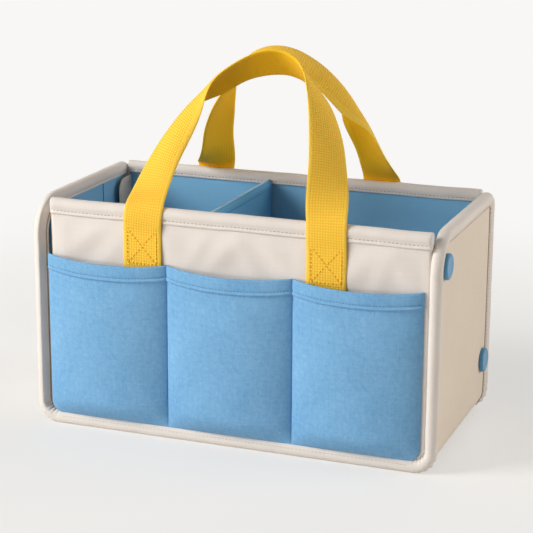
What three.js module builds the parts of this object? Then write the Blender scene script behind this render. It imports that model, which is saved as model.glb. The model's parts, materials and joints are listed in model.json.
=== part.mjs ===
// Toy carry caddy: a stiff canvas strip folded into two ends and a base, soft front and back
// walls snapped to the ends, pockets on the front, two webbing handles and a lift-out divider.
// Millimetres, +Z up, front towards -Y, origin at the centre of the base's underside.
import * as THREE from 'three';

// Body
const BODY_WIDTH = 315;
const BODY_DEPTH = 158;
const END_HEIGHT = 176;
const END_FRONT_RADIUS = 29;
const END_BACK_RADIUS = 13;
const FOLD_RADIUS = 17;

// Cloth layers and the gap left between pieces that lie on each other
const COVER_THICK = 1.2;
const BOARD_THICK = 2.4;
const LINING_THICK = 1.2;
const GAP = 0.3;

// Rolled binding round the strip's edges
const BINDING_WALL = 1.2;
const BINDING_REACH = 9;
const BINDING_PIPING = 3;

// Front and back walls
const WALL_RECESS = 4;
const WALL_SIDE_GAP = 2;
const WALL_DROP = 1;
const WALL_CORNER_EASE = 0.4;
const CANVAS_THICK = 1.2;
const PADDING_THICK = 2;
const PADDING_INSET = 2;
const HEM_WALL = 1.2;
const HEM_OUTER_DROP = 12;
const HEM_INNER_DROP = 9;

// Flaps that lie on the end panels
const FLAP_THICK = 1.2;
const FLAP_MARGIN = 4.3;
const FLAP_TOP_MARGIN = 7.5;
const FLAP_CORNER_RADIUS = 10;

// Pockets
const POCKET_NAMES = ['left', 'centre', 'right'];
const POCKET_CLOTH = 1.5;
const POCKET_HEIGHT = 125;
const POCKET_SAG = 2.5;
const POCKET_BULGE = 11;
const POCKET_FLOOR_RISE = 26;
const POCKET_FLATNESS = 2.6;
const POCKET_EDGE_ROUNDING = 0.55;
const POCKET_HEM = 11;
const POCKET_HEM_FOLD = 0.8;
const POCKET_ACROSS = 16;
const POCKET_UP = 9;

// Snaps
const SNAP_BINDING_MARGIN = 1;
const SNAP_ABOVE_CORNER = 3;
const SNAP_LOW_HEIGHT = 45;
const CAP_DIAMETER = 19;
const CAP_THICK = 3.4;
const CAP_DOME = 0.9;
const SHANK_DIAMETER = 4;
const SHANK_CLEARANCE = 0.3;
const SOCKET_DIAMETER = 13;
const SOCKET_THICK = 1.7;
const STUD_DIAMETER = 12;
const STUD_THICK = 1.2;
const NUB_REACH = 1;
const INNER_CAP_DIAMETER = 15;
const INNER_CAP_THICK = 2;
const INNER_SHANK_DIAMETER = 2.6;
const STUD_BORE_DEPTH = 0.8;
const ROUND_STEPS = 28;

// Handles
const WEBBING_WIDTH = 30;
const WEBBING_THICK = 2.2;
const LEG_SEAM_MARGIN = 6.5;
const FRONT_HANDLE_X = 3.5;
const BACK_HANDLE_X = -3;
const ARCH_LEAN_X = 12;
const ARCH_FOOT_RISE = 1.5;
const ARCH_RISE = 102;
const ARCH_TILT = THREE.MathUtils.degToRad(47);
const ARCH_START_BACK = 20;
const ARCH_START_UP = 20;
const ARCH_CROWN = 46;
const HANDLE_APART = 0.8;
const ARCH_STEPS = 22;
const ANCHOR_LENGTH = 50;
const FOLD_LINE_DROP = 4.5;

// Divider
const DIVIDER_X = -24;
const DIVIDER_DROP = 4;
const DIVIDER_CLEARANCE = 0.6;
const DIVIDER_CLOTH = 1.2;
const TAB_REACH = 12;
const TAB_SEAM = 14;
const TAB_DROP = 10;
const HOOK_BOTTOM = 20;
const HOOK_LENGTH = 64;

// Materials
const CREAM = new THREE.MeshStandardMaterial({ color: 0xe3d9cb, roughness: 0.85, metalness: 0 });
const CREAM_TAPE = new THREE.MeshStandardMaterial({ color: 0xddd3c5, roughness: 0.8, metalness: 0 });
const BLUE = new THREE.MeshStandardMaterial({ color: 0x6fabd8, roughness: 0.9, metalness: 0 });
const BLUE_LINING = new THREE.MeshStandardMaterial({ color: 0x4b8cc0, roughness: 0.8, metalness: 0 });
const YELLOW = new THREE.MeshStandardMaterial({ color: 0xf2b91f, roughness: 0.7, metalness: 0 });
const SNAP_BLUE = new THREE.MeshStandardMaterial({ color: 0x4f97cf, roughness: 0.4, metalness: 0 });
const BOARD = new THREE.MeshStandardMaterial({ color: 0x9a9184, roughness: 0.9, metalness: 0 });
const PADDING = new THREE.MeshStandardMaterial({ color: 0xf1efe9, roughness: 0.95, metalness: 0 });
const HOOK = new THREE.MeshStandardMaterial({ color: 0x3f79ab, roughness: 0.9, metalness: 0 });

// Depths of the strip's layers, measured inwards from the binding's outer face
const COVER_OUT = BINDING_WALL + GAP;
const COVER_IN = COVER_OUT + COVER_THICK;
const BOARD_OUT = COVER_IN + GAP;
const BOARD_IN = BOARD_OUT + BOARD_THICK;
const LINING_OUT = BOARD_IN + GAP;
const LINING_IN = LINING_OUT + LINING_THICK;
const SLOT_IN = LINING_IN + GAP;
const STRIP_THICK = SLOT_IN + BINDING_WALL;
const LAYER_INSET = BINDING_PIPING + GAP;
const BOARD_INSET = LAYER_INSET + COVER_THICK;

// Places worked out from the sizes above
const HALF_WIDTH = BODY_WIDTH / 2;
const HALF_DEPTH = BODY_DEPTH / 2;
const FLAT_HALF = HALF_WIDTH - FOLD_RADIUS - GAP;
const END_BOTTOM = FOLD_RADIUS + GAP;
const WALL_HALF = HALF_WIDTH - STRIP_THICK - WALL_SIDE_GAP;
const WALL_BOTTOM = STRIP_THICK + GAP;
const WALL_TOP = END_HEIGHT - WALL_DROP;
const WALL_CORNER_RADIUS = FOLD_RADIUS - STRIP_THICK + WALL_CORNER_EASE;
const WALL_OUT = HALF_DEPTH - WALL_RECESS;
const CANVAS_IN = WALL_OUT - CANVAS_THICK;
const PADDING_OUT = CANVAS_IN - GAP;
const PADDING_IN = PADDING_OUT - PADDING_THICK;
const WALL_LINING_OUT = PADDING_IN - GAP;
const WALL_LINING_IN = WALL_LINING_OUT - LINING_THICK;
const HEM_OUT = WALL_OUT + GAP + HEM_WALL;
const HEM_IN = WALL_LINING_IN - GAP - HEM_WALL;
const HEM_TOP = WALL_TOP + GAP + HEM_WALL;
const POCKET_WIDTH = 2 * WALL_HALF / POCKET_NAMES.length;
const LEG_SPACING = POCKET_WIDTH + WEBBING_WIDTH + 2 * LEG_SEAM_MARGIN;
const FOLD_LINE_HEIGHT = HEM_TOP - FOLD_LINE_DROP;
const STRAP_IN = HEM_OUT + GAP;
const STRAP_MID = STRAP_IN + WEBBING_THICK / 2;
const SHANK_RADIUS = SHANK_DIAMETER / 2;
const HOLE_RADIUS = SHANK_RADIUS + SHANK_CLEARANCE;
const SOCKET_IN = LINING_IN + GAP + SOCKET_THICK;
const STUD_OUT = SOCKET_IN + GAP;
const STUD_IN = STUD_OUT + STUD_THICK;
const FLAP_OUT = STUD_IN + GAP;
const FLAP_IN = FLAP_OUT + FLAP_THICK;
const SNAP_Y = HALF_DEPTH - BINDING_REACH - SNAP_BINDING_MARGIN - CAP_DIAMETER / 2;
const SNAP_TOP_HEIGHT = END_HEIGHT - END_FRONT_RADIUS + SNAP_ABOVE_CORNER;
const FLAP_TOP = SNAP_TOP_HEIGHT + INNER_CAP_DIAMETER / 2 + FLAP_TOP_MARGIN;

// Axes of a drawing laid on a plane: its x, its y and its pull direction, in the object's axes
const ON_END = new THREE.Matrix4().makeBasis(
  new THREE.Vector3(0, 1, 0), new THREE.Vector3(0, 0, 1), new THREE.Vector3(1, 0, 0));
const ON_FLOOR = new THREE.Matrix4();
const ON_WALL = new THREE.Matrix4().makeBasis(
  new THREE.Vector3(1, 0, 0), new THREE.Vector3(0, 0, 1), new THREE.Vector3(0, -1, 0));

function makeMesh(name, geometry, material) {
  const mesh = new THREE.Mesh(geometry, material);
  mesh.name = name;
  return mesh;
}

// Pulls a drawing straight for a length, laid on the given plane
function pulled(shape, length, plane, curveSegments = 8) {
  const settings = { depth: length, bevelEnabled: false, curveSegments };
  return new THREE.ExtrudeGeometry(shape, settings).applyMatrix4(plane);
}

function shapeOf(points) {
  return new THREE.Shape(points.map(([x, y]) => new THREE.Vector2(x, y)));
}

// Closed skin over a row of sections with as many points each, with faces over both ends
function lofted(sections, endFaces = flatFaces) {
  const count = sections[0].length;
  const last = (sections.length - 1) * count;
  const faces = [];
  for (let row = 0; row + 1 < sections.length; row += 1) {
    for (let i = 0; i < count; i += 1) {
      const a = row * count + i;
      const b = row * count + (i + 1) % count;
      faces.push(a, b, b + count, a, b + count, a + count);
    }
  }
  for (const [a, b, c] of endFaces(sections[0])) {
    faces.push(c, b, a);
  }
  for (const [a, b, c] of endFaces(sections.at(-1))) {
    faces.push(a + last, b + last, c + last);
  }
  const places = sections.flat().flatMap((point) => point.toArray());
  const geometry = new THREE.BufferGeometry();
  geometry.setAttribute('position', new THREE.Float32BufferAttribute(places, 3));
  geometry.setIndex(faces);
  return outward(geometry);
}

// Faces over a flat section
function flatFaces(section) {
  return THREE.ShapeUtils.triangulateShape(flattened(section), []);
}

// Faces over a thin section whose second half runs back along its first
function ribbonFaces(section) {
  const faces = [];
  for (let i = 0; i + 1 < section.length / 2; i += 1) {
    const across = section.length - 1 - i;
    faces.push([i, i + 1, across - 1], [i, across - 1, across]);
  }
  return faces;
}

// A plane section's corners as flat points, in the section's own plane
function flattened(section) {
  const normal = new THREE.Vector3();
  section.forEach((point, i) => {
    const next = section[(i + 1) % section.length];
    normal.add(new THREE.Vector3().crossVectors(point, next));
  });
  normal.normalize();
  const across = new THREE.Vector3().subVectors(section[1], section[0]).normalize();
  const up = new THREE.Vector3().crossVectors(normal, across);
  return section.map((point) => new THREE.Vector2(point.dot(across), point.dot(up)));
}

// Turns every face round if the closed mesh encloses a negative volume
function outward(geometry) {
  const place = geometry.getAttribute('position');
  const index = geometry.getIndex();
  const [a, b, c] = [new THREE.Vector3(), new THREE.Vector3(), new THREE.Vector3()];
  let volume = 0;
  for (let i = 0; i < index.count; i += 3) {
    a.fromBufferAttribute(place, index.getX(i));
    b.fromBufferAttribute(place, index.getX(i + 1));
    c.fromBufferAttribute(place, index.getX(i + 2));
    volume += a.dot(b.cross(c));
  }
  if (volume < 0) {
    for (let i = 0; i < index.count; i += 3) {
      const first = index.getX(i);
      index.setX(i, index.getX(i + 2));
      index.setX(i + 2, first);
    }
  }
  return geometry;
}

// Revolves an outline of [radius, height] about the snap's axis, which lies along +X
function revolved(outline) {
  const points = outline.map(([radius, height]) => new THREE.Vector2(radius, height));
  return new THREE.LatheGeometry(points, ROUND_STEPS).rotateZ(-Math.PI / 2);
}

// Outline of an end panel in (y, z), drawn in from the binding's edge; corners are its radii at -Y and +Y
function endOutline(inset, corners) {
  const side = HALF_DEPTH - inset;
  const top = END_HEIGHT - inset;
  const [near, far] = corners.map((radius) => radius - inset);
  const shape = new THREE.Shape();
  shape.moveTo(-side, END_BOTTOM);
  shape.lineTo(side, END_BOTTOM);
  shape.lineTo(side, top - far);
  shape.absarc(side - far, top - far, far, 0, Math.PI / 2, false);
  shape.lineTo(-side + near, top);
  shape.absarc(-side + near, top - near, near, Math.PI / 2, Math.PI, false);
  shape.closePath();
  return shape;
}

// Cuts a round hole at each snap, drawn against the outline's sense
function withHoles(shape, snaps, radius) {
  const clockwise = !THREE.ShapeUtils.isClockWise(shape.getPoints());
  for (const snap of snaps) {
    const hole = new THREE.Path();
    hole.absarc(snap.y, snap.z, radius, 0, 2 * Math.PI, clockwise);
    shape.holes.push(hole);
  }
  return shape;
}

// Section of the binding: [distance in from the edge, depth from the outer face]
function bindingSection() {
  const nose = STRIP_THICK / 2;
  const noseSteps = 8;
  const section = [[BINDING_REACH, 0]];
  for (let i = 0; i <= noseSteps; i += 1) {
    const turn = Math.PI * i / noseSteps;
    section.push([nose - nose * Math.sin(turn), nose - nose * Math.cos(turn)]);
  }
  section.push([BINDING_REACH, STRIP_THICK]);
  section.push([BINDING_REACH, SLOT_IN]);
  section.push([BINDING_PIPING, SLOT_IN]);
  section.push([BINDING_PIPING, BINDING_WALL]);
  section.push([BINDING_REACH, BINDING_WALL]);
  return section;
}

// Stations round an end panel's edge: a point on the edge and the direction in towards the panel
function edgeStations([near, far]) {
  const cornerSteps = 8;
  const stations = [{ y: -HALF_DEPTH, z: END_BOTTOM, inY: 1, inZ: 0 }];
  const arcs = [
    { y: -HALF_DEPTH + near, radius: near, from: Math.PI },
    { y: HALF_DEPTH - far, radius: far, from: Math.PI / 2 },
  ];
  for (const arc of arcs) {
    for (let i = 0; i <= cornerSteps; i += 1) {
      const turn = arc.from - Math.PI / 2 * i / cornerSteps;
      stations.push({
        y: arc.y + arc.radius * Math.cos(turn),
        z: END_HEIGHT - arc.radius + arc.radius * Math.sin(turn),
        inY: -Math.cos(turn),
        inZ: -Math.sin(turn),
      });
    }
  }
  stations.push({ y: HALF_DEPTH, z: END_BOTTOM, inY: -1, inZ: 0 });
  return stations;
}

// One end panel, facing +X, with its outer snap caps and sockets
function endPanel(side, snaps, corners) {
  const group = new THREE.Group();
  const layers = [
    ['cover', LAYER_INSET, COVER_IN, COVER_THICK, CREAM],
    ['board', BOARD_INSET, BOARD_IN, BOARD_THICK, BOARD],
    ['lining', LAYER_INSET, LINING_IN, LINING_THICK, BLUE_LINING],
  ];
  for (const [name, inset, depth, thick, material] of layers) {
    const shape = withHoles(endOutline(inset, corners), snaps, HOLE_RADIUS);
    const mesh = makeMesh(`${side}_${name}`, pulled(shape, thick, ON_END), material);
    mesh.position.x = HALF_WIDTH - depth;
    group.add(mesh);
  }
  const section = bindingSection();
  const rows = edgeStations(corners).map((at) => section.map(([reach, depth]) => new THREE.Vector3(
    HALF_WIDTH - depth, at.y + at.inY * reach, at.z + at.inZ * reach)));
  group.add(makeMesh(`${side}_binding`, lofted(rows), CREAM_TAPE));
  for (const snap of snaps) {
    const cap = makeMesh(`${side}_${snap.name}_snap_cap`, revolved(capOutline()), SNAP_BLUE);
    const socket = makeMesh(`${side}_${snap.name}_snap_socket`, revolved(socketOutline()), SNAP_BLUE);
    for (const mesh of [cap, socket]) {
      mesh.position.set(HALF_WIDTH, snap.y, snap.z);
      group.add(mesh);
    }
  }
  return group;
}

// Snap pieces as [radius, height out from the binding's outer face]
function capOutline() {
  const radius = CAP_DIAMETER / 2;
  const seat = -BINDING_WALL;
  const tip = -(LINING_IN + GAP + SOCKET_THICK / 2) + GAP;
  const rim = seat + CAP_THICK - CAP_DOME;
  const outline = [[0, tip], [SHANK_RADIUS, tip], [SHANK_RADIUS, seat], [radius, seat], [radius, rim]];
  const domeSteps = 4;
  for (let i = 1; i <= domeSteps; i += 1) {
    const turn = Math.PI / 2 * i / domeSteps;
    outline.push([radius * Math.cos(turn), rim + CAP_DOME * Math.sin(turn)]);
  }
  outline[outline.length - 1][0] = 0;
  return outline;
}

function socketOutline() {
  const radius = SOCKET_DIAMETER / 2;
  const outer = -(LINING_IN + GAP);
  return [
    [HOLE_RADIUS, -SOCKET_IN], [radius, -SOCKET_IN], [radius, outer], [HOLE_RADIUS, outer],
    [HOLE_RADIUS, -SOCKET_IN],
  ];
}

function studOutline() {
  const radius = STUD_DIAMETER / 2;
  const bore = INNER_SHANK_DIAMETER / 2 + SHANK_CLEARANCE;
  const nub = SHANK_RADIUS;
  return [
    [0, -STUD_IN + STUD_BORE_DEPTH], [bore, -STUD_IN + STUD_BORE_DEPTH], [bore, -STUD_IN],
    [radius, -STUD_IN], [radius, -STUD_OUT], [nub, -STUD_OUT],
    [nub, -STUD_OUT + NUB_REACH - GAP], [0, -STUD_OUT + NUB_REACH - GAP],
  ];
}

function innerCapOutline() {
  const radius = INNER_CAP_DIAMETER / 2;
  const shank = INNER_SHANK_DIAMETER / 2;
  const seat = -(FLAP_IN + GAP);
  const tip = -STUD_IN + STUD_BORE_DEPTH - GAP;
  const face = seat - INNER_CAP_THICK;
  return [
    [0, face], [radius - CAP_DOME, face], [radius, face + CAP_DOME], [radius, seat],
    [shank, seat], [shank, tip], [0, tip],
  ];
}

// Flap of a wall on the right end's inner face, with the stud that the end's socket grips
function flap(wall, side, snap) {
  const group = new THREE.Group();
  const edge = Math.sign(snap.y) * (WALL_LINING_IN - GAP);
  const tip = Math.sign(snap.y) * (SNAP_Y - INNER_CAP_DIAMETER / 2 - FLAP_MARGIN);
  const round = Math.sign(snap.y) * FLAP_CORNER_RADIUS;
  const shape = new THREE.Shape();
  shape.moveTo(edge, END_BOTTOM);
  shape.lineTo(edge, FLAP_TOP);
  shape.lineTo(tip + round, FLAP_TOP);
  shape.quadraticCurveTo(tip, FLAP_TOP, tip, FLAP_TOP - FLAP_CORNER_RADIUS);
  shape.lineTo(tip, END_BOTTOM);
  shape.closePath();
  withHoles(shape, [snap], INNER_SHANK_DIAMETER / 2 + SHANK_CLEARANCE);
  const cloth = makeMesh(`${wall}_${side}_flap`, pulled(shape, FLAP_THICK, ON_END), CREAM);
  cloth.position.x = HALF_WIDTH - FLAP_IN;
  group.add(cloth);
  const stud = makeMesh(`${side}_${snap.name}_snap_stud`, revolved(studOutline()), SNAP_BLUE);
  const inner = makeMesh(`${side}_${snap.name}_snap_inner_cap`, revolved(innerCapOutline()), SNAP_BLUE);
  for (const mesh of [stud, inner]) {
    mesh.position.set(HALF_WIDTH, snap.y, snap.z);
    group.add(mesh);
  }
  return group;
}

// Flat base: padded cover flush with the floor between the bindings, board and lining
function base() {
  const group = new THREE.Group();
  const edge = HALF_DEPTH - LAYER_INSET;
  const step = HALF_DEPTH - BINDING_REACH - GAP;
  const ramp = COVER_OUT;
  const cover = shapeOf([
    [-edge, COVER_OUT], [-step, COVER_OUT], [-step + ramp, 0], [step - ramp, 0],
    [step, COVER_OUT], [edge, COVER_OUT], [edge, COVER_IN], [-edge, COVER_IN],
  ]);
  const boardEdge = HALF_DEPTH - BOARD_INSET;
  const board = shapeOf([
    [-boardEdge, BOARD_OUT], [boardEdge, BOARD_OUT], [boardEdge, BOARD_IN], [-boardEdge, BOARD_IN],
  ]);
  const lining = shapeOf([
    [-edge, LINING_OUT], [edge, LINING_OUT], [edge, LINING_IN], [-edge, LINING_IN],
  ]);
  const front = shapeOf(bindingSection().map(([reach, depth]) => [-HALF_DEPTH + reach, depth]));
  const back = shapeOf(bindingSection().map(([reach, depth]) => [HALF_DEPTH - reach, depth]));
  const layers = [
    ['base_cover', cover, CREAM],
    ['base_board', board, BOARD],
    ['base_lining', lining, BLUE_LINING],
    ['base_binding_front', front, CREAM_TAPE],
    ['base_binding_back', back, CREAM_TAPE],
  ];
  for (const [name, shape, material] of layers) {
    const mesh = makeMesh(name, pulled(shape, 2 * FLAT_HALF, ON_END), material);
    mesh.position.x = -FLAT_HALF;
    group.add(mesh);
  }
  return group;
}

// Soft bottom corner between the base and the right end: the strip without its board
function cornerFold(side) {
  const foldSteps = 8;
  const noseSteps = 6;
  const nose = STRIP_THICK / 2;
  const section = [];
  for (const end of [-1, 1]) {
    for (let i = 0; i <= noseSteps; i += 1) {
      const turn = Math.PI * i / noseSteps - Math.PI / 2;
      section.push([end * (HALF_DEPTH - nose + nose * Math.cos(turn)), nose + end * nose * Math.sin(turn)]);
    }
  }
  const centre = HALF_WIDTH - FOLD_RADIUS;
  const rows = [];
  for (let i = 0; i <= foldSteps; i += 1) {
    const turn = Math.PI / 2 * i / foldSteps;
    rows.push(section.map(([y, depth]) => {
      const radius = FOLD_RADIUS - depth;
      return new THREE.Vector3(centre + radius * Math.sin(turn), y, FOLD_RADIUS - radius * Math.cos(turn));
    }));
  }
  return makeMesh(`${side}_corner_fold`, lofted(rows), CREAM_TAPE);
}

// Outline of a wall in (x, z), with round bottom corners that clear the corner folds
function wallOutline(inset, top) {
  const side = WALL_HALF - inset;
  const bottom = WALL_BOTTOM + inset;
  const radius = WALL_CORNER_RADIUS;
  const shape = new THREE.Shape();
  shape.moveTo(-side, top);
  shape.lineTo(-side, bottom + radius);
  shape.absarc(-side + radius, bottom + radius, radius, Math.PI, 1.5 * Math.PI, false);
  shape.lineTo(side - radius, bottom);
  shape.absarc(side - radius, bottom + radius, radius, 1.5 * Math.PI, 2 * Math.PI, false);
  shape.lineTo(side, top);
  shape.closePath();
  return shape;
}

// Front wall: canvas, padding and lining under a folded hem
function wall(name) {
  const group = new THREE.Group();
  const layers = [
    ['canvas', 0, WALL_TOP, CANVAS_IN, CANVAS_THICK, CREAM],
    ['padding', PADDING_INSET, WALL_TOP - PADDING_INSET, PADDING_IN, PADDING_THICK, PADDING],
    ['lining', 0, WALL_TOP, WALL_LINING_IN, LINING_THICK, BLUE_LINING],
  ];
  for (const [layer, inset, top, inner, thick, material] of layers) {
    const mesh = makeMesh(`${name}_${layer}`, pulled(wallOutline(inset, top), thick, ON_WALL), material);
    mesh.position.y = -inner;
    group.add(mesh);
  }
  const chamfer = HEM_WALL / 2;
  const hem = shapeOf([
    [-HEM_OUT, HEM_TOP - HEM_OUTER_DROP], [-HEM_OUT + HEM_WALL, HEM_TOP - HEM_OUTER_DROP],
    [-HEM_OUT + HEM_WALL, HEM_TOP - HEM_WALL], [-HEM_IN - HEM_WALL, HEM_TOP - HEM_WALL],
    [-HEM_IN - HEM_WALL, HEM_TOP - HEM_INNER_DROP], [-HEM_IN, HEM_TOP - HEM_INNER_DROP],
    [-HEM_IN, HEM_TOP - chamfer], [-HEM_IN - chamfer, HEM_TOP],
    [-HEM_OUT + chamfer, HEM_TOP], [-HEM_OUT, HEM_TOP - chamfer],
  ]);
  const hemMesh = makeMesh(`${name}_hem`, pulled(hem, 2 * WALL_HALF, ON_END), CREAM);
  hemMesh.position.x = -WALL_HALF;
  group.add(hemMesh);
  return group;
}

// How far a pocket's cloth stands off the wall: u runs -1 to 1 across, rise is the height from its seam
function pocketBulge(u, rise) {
  const across = (1 - Math.abs(u) ** POCKET_FLATNESS) ** POCKET_EDGE_ROUNDING;
  const up = Math.sin(Math.PI / 2 * Math.min(rise / POCKET_FLOOR_RISE, 1));
  return POCKET_BULGE * across * up;
}

// Heights at which a pocket's cloth is drawn: a share of the height below its hem, a share of its
// hem, and the cloth's thickness there, which is greater where the hem is folded over
function pocketLevels() {
  const levels = [];
  for (let j = 0; j <= POCKET_UP; j += 1) {
    levels.push({ below: 1 - Math.cos(Math.PI / 2 * j / POCKET_UP), hem: 0, thick: POCKET_CLOTH });
  }
  const folded = POCKET_CLOTH + POCKET_HEM_FOLD;
  levels.push({ below: 1, hem: POCKET_HEM_FOLD / POCKET_HEM, thick: folded });
  levels.push({ below: 1, hem: 1, thick: folded });
  return levels;
}

// How far a round bottom corner of the wall draws in its side at a height
function cornerInset(z) {
  const below = THREE.MathUtils.clamp(WALL_BOTTOM + WALL_CORNER_RADIUS - z, 0, WALL_CORNER_RADIUS);
  return WALL_CORNER_RADIUS - Math.sqrt(WALL_CORNER_RADIUS ** 2 - below ** 2);
}

// One pocket: a cloth sewn down both sides and along the bottom, crowned and open at the top
function pocket(order) {
  const isFirst = order === 0;
  const isLast = order === POCKET_NAMES.length - 1;
  const seamLeft = -WALL_HALF + order * POCKET_WIDTH + (isFirst ? 0 : GAP / 2);
  const seamRight = -WALL_HALF + (order + 1) * POCKET_WIDTH - (isLast ? 0 : GAP / 2);
  const rows = pocketLevels().map(({ below, hem, thick }) => {
    const outer = [];
    const inner = [];
    for (let i = 0; i <= POCKET_ACROSS; i += 1) {
      const u = -Math.cos(Math.PI * i / POCKET_ACROSS);
      const rise = (POCKET_HEIGHT - POCKET_SAG * (1 - u * u) - POCKET_HEM) * below + POCKET_HEM * hem;
      const z = WALL_BOTTOM + rise;
      const left = seamLeft + (isFirst ? cornerInset(z) : 0);
      const right = seamRight - (isLast ? cornerInset(z) : 0);
      const x = left + (right - left) * (u + 1) / 2;
      const y = -WALL_OUT - GAP - pocketBulge(u, rise);
      inner.push(new THREE.Vector3(x, y, z));
      outer.push(new THREE.Vector3(x, y - thick, z));
    }
    return outer.concat(inner.reverse());
  });
  return makeMesh(`pocket_${POCKET_NAMES[order]}`, lofted(rows, ribbonFaces), BLUE);
}

// Sewn end of a handle's leg: flat on the wall, stepping out over the hem, up to its fold line
function anchor(name, x) {
  const low = WALL_OUT + GAP;
  const stepTop = HEM_TOP - HEM_OUTER_DROP - GAP;
  const stepBottom = stepTop - 2 * (STRAP_IN - low);
  const line = [
    [low, FOLD_LINE_HEIGHT - ANCHOR_LENGTH], [low, stepBottom], [STRAP_IN, stepTop],
    [STRAP_IN, FOLD_LINE_HEIGHT],
  ];
  const outer = line.map(([y, z]) => [-y - WEBBING_THICK, z]);
  const inner = line.map(([y, z]) => [-y, z]).reverse();
  const mesh = makeMesh(name, pulled(shapeOf(outer.concat(inner)), WEBBING_WIDTH, ON_END), YELLOW);
  mesh.position.x = x - WEBBING_WIDTH / 2;
  return mesh;
}

// Half of a handle's arch, from its fold line to the crown: places, directions along the webbing
// and directions across it. The webbing lies flat on the wall at its foot and makes a quarter turn
// on its way to the crown, where the edge that faced inwards is in front.
function archHalf(foot, crown, inward) {
  const rim = new THREE.Vector3(foot, -STRAP_MID, HEM_TOP + ARCH_FOOT_RISE);
  const span = Math.abs(crown.x - foot) / (LEG_SPACING / 2);
  const start = new THREE.Vector3(0, ARCH_START_BACK, ARCH_START_UP);
  const level = new THREE.Vector3(inward * ARCH_CROWN * span, 0, 0);
  const curve = new THREE.CubicBezierCurve3(rim, rim.clone().add(start), crown.clone().sub(level), crown);
  const tilted = new THREE.Vector3(0, -Math.cos(ARCH_TILT), Math.sin(ARCH_TILT));
  const up = new THREE.Vector3(0, 0, 1);
  const flat = new THREE.Vector3(inward, 0, 0);
  const rows = [{ at: rim.clone().setZ(FOLD_LINE_HEIGHT + GAP), along: up, across: flat }];
  for (let i = 0; i <= ARCH_STEPS; i += 1) {
    const share = i / ARCH_STEPS;
    const along = curve.getTangentAt(share);
    if (i === 0) {
      along.add(up).normalize();
    }
    const turn = Math.PI / 2 * share;
    const across = flat.clone().multiplyScalar(Math.cos(turn)).addScaledVector(tilted, Math.sin(turn));
    across.addScaledVector(along, -across.dot(along)).normalize();
    rows.push({ at: curve.getPointAt(share), along, across });
  }
  return rows;
}

// A handle's loop, from one fold line over its crown to the other
function handle(name, middle, lean) {
  const lying = WEBBING_WIDTH / 2 * Math.cos(ARCH_TILT) + WEBBING_THICK / 2 * Math.sin(ARCH_TILT);
  const crown = new THREE.Vector3(middle + lean, -HANDLE_APART / 2 - lying, HEM_TOP + ARCH_RISE);
  const rising = archHalf(middle - LEG_SPACING / 2, crown, 1);
  const falling = archHalf(middle + LEG_SPACING / 2, crown, -1).slice(0, -1).reverse();
  falling.forEach((row) => row.along.negate());
  const corners = [[-1, -1], [1, -1], [1, 1], [-1, 1]];
  const sections = rising.concat(falling).map(({ at, along, across }) => {
    const face = new THREE.Vector3().crossVectors(across, along);
    return corners.map(([side, skin]) => at.clone()
      .addScaledVector(across, side * WEBBING_WIDTH / 2)
      .addScaledVector(face, skin * WEBBING_THICK / 2));
  });
  return makeMesh(name, lofted(sections), YELLOW);
}

// Lift-out divider: a board in a cloth sleeve, a folded tab at each end and hooks on the tabs
function divider() {
  const group = new THREE.Group();
  group.position.x = DIVIDER_X;
  const slot = BOARD_THICK / 2 + GAP;
  const half = slot + DIVIDER_CLOTH;
  const bottom = LINING_IN + GAP;
  const top = WALL_TOP - DIVIDER_DROP;
  const reach = Math.min(HEM_IN, HALF_DEPTH - BINDING_REACH) - DIVIDER_CLEARANCE;
  const sleeve = new THREE.Shape();
  sleeve.moveTo(-half, bottom);
  sleeve.lineTo(-slot, bottom);
  sleeve.lineTo(-slot, top - half);
  sleeve.lineTo(slot, top - half);
  sleeve.lineTo(slot, bottom);
  sleeve.lineTo(half, bottom);
  sleeve.lineTo(half, top - half);
  sleeve.absarc(0, top - half, half, 0, Math.PI, false);
  sleeve.closePath();
  const cover = makeMesh('divider_cover', pulled(sleeve, 2 * reach, ON_WALL), BLUE);
  cover.position.y = reach;
  const boardHeight = top - half - GAP - bottom;
  const boardShape = new THREE.BoxGeometry(BOARD_THICK, 2 * reach, boardHeight);
  const board = makeMesh('divider_board', boardShape, BOARD);
  board.position.z = bottom + boardHeight / 2;
  group.add(cover, board);
  const sewn = -half - GAP;
  const bend = sewn - DIVIDER_CLOTH;
  const tabHeight = top - TAB_DROP - bottom;
  const hookThick = WALL_LINING_IN - GAP - (reach + GAP);
  for (const [name, end] of [['front', -1], ['back', 1]]) {
    const outline = [
      [sewn, reach], [sewn, reach - TAB_SEAM], [bend, reach - TAB_SEAM],
      [bend, reach - DIVIDER_CLOTH], [bend - TAB_REACH, reach - DIVIDER_CLOTH], [bend - TAB_REACH, reach],
    ].map(([x, y]) => [x, end * y]);
    const tab = makeMesh(`divider_${name}_tab`, pulled(shapeOf(outline), tabHeight, ON_FLOOR), BLUE);
    tab.position.z = bottom;
    const hookShape = new THREE.BoxGeometry(TAB_REACH, hookThick, HOOK_LENGTH);
    const hook = makeMesh(`divider_${name}_hook`, hookShape, HOOK);
    hook.position.x = bend - TAB_REACH / 2;
    hook.position.y = end * (reach + GAP + hookThick / 2);
    hook.position.z = HOOK_BOTTOM + HOOK_LENGTH / 2;
    group.add(tab, hook);
  }
  return group;
}

// One side of the body, facing +X: the end panel, its corner fold and the flaps snapped to it
function side(name, snaps, corners) {
  const group = new THREE.Group();
  group.add(endPanel(name, snaps, corners), cornerFold(name));
  group.add(flap('front', name, snaps[0]), flap('back', name, snaps[1]));
  return group;
}

// One face of the body, facing -Y: the wall, its handle and the handle's anchors
function face(name, handleX, lean, legNames) {
  const group = new THREE.Group();
  group.add(wall(name), handle(`${name}_handle`, handleX, lean));
  legNames.forEach((leg, i) => {
    const x = handleX + (i - 0.5) * LEG_SPACING;
    group.add(anchor(`${name}_${leg}_anchor`, x));
  });
  return group;
}

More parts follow.
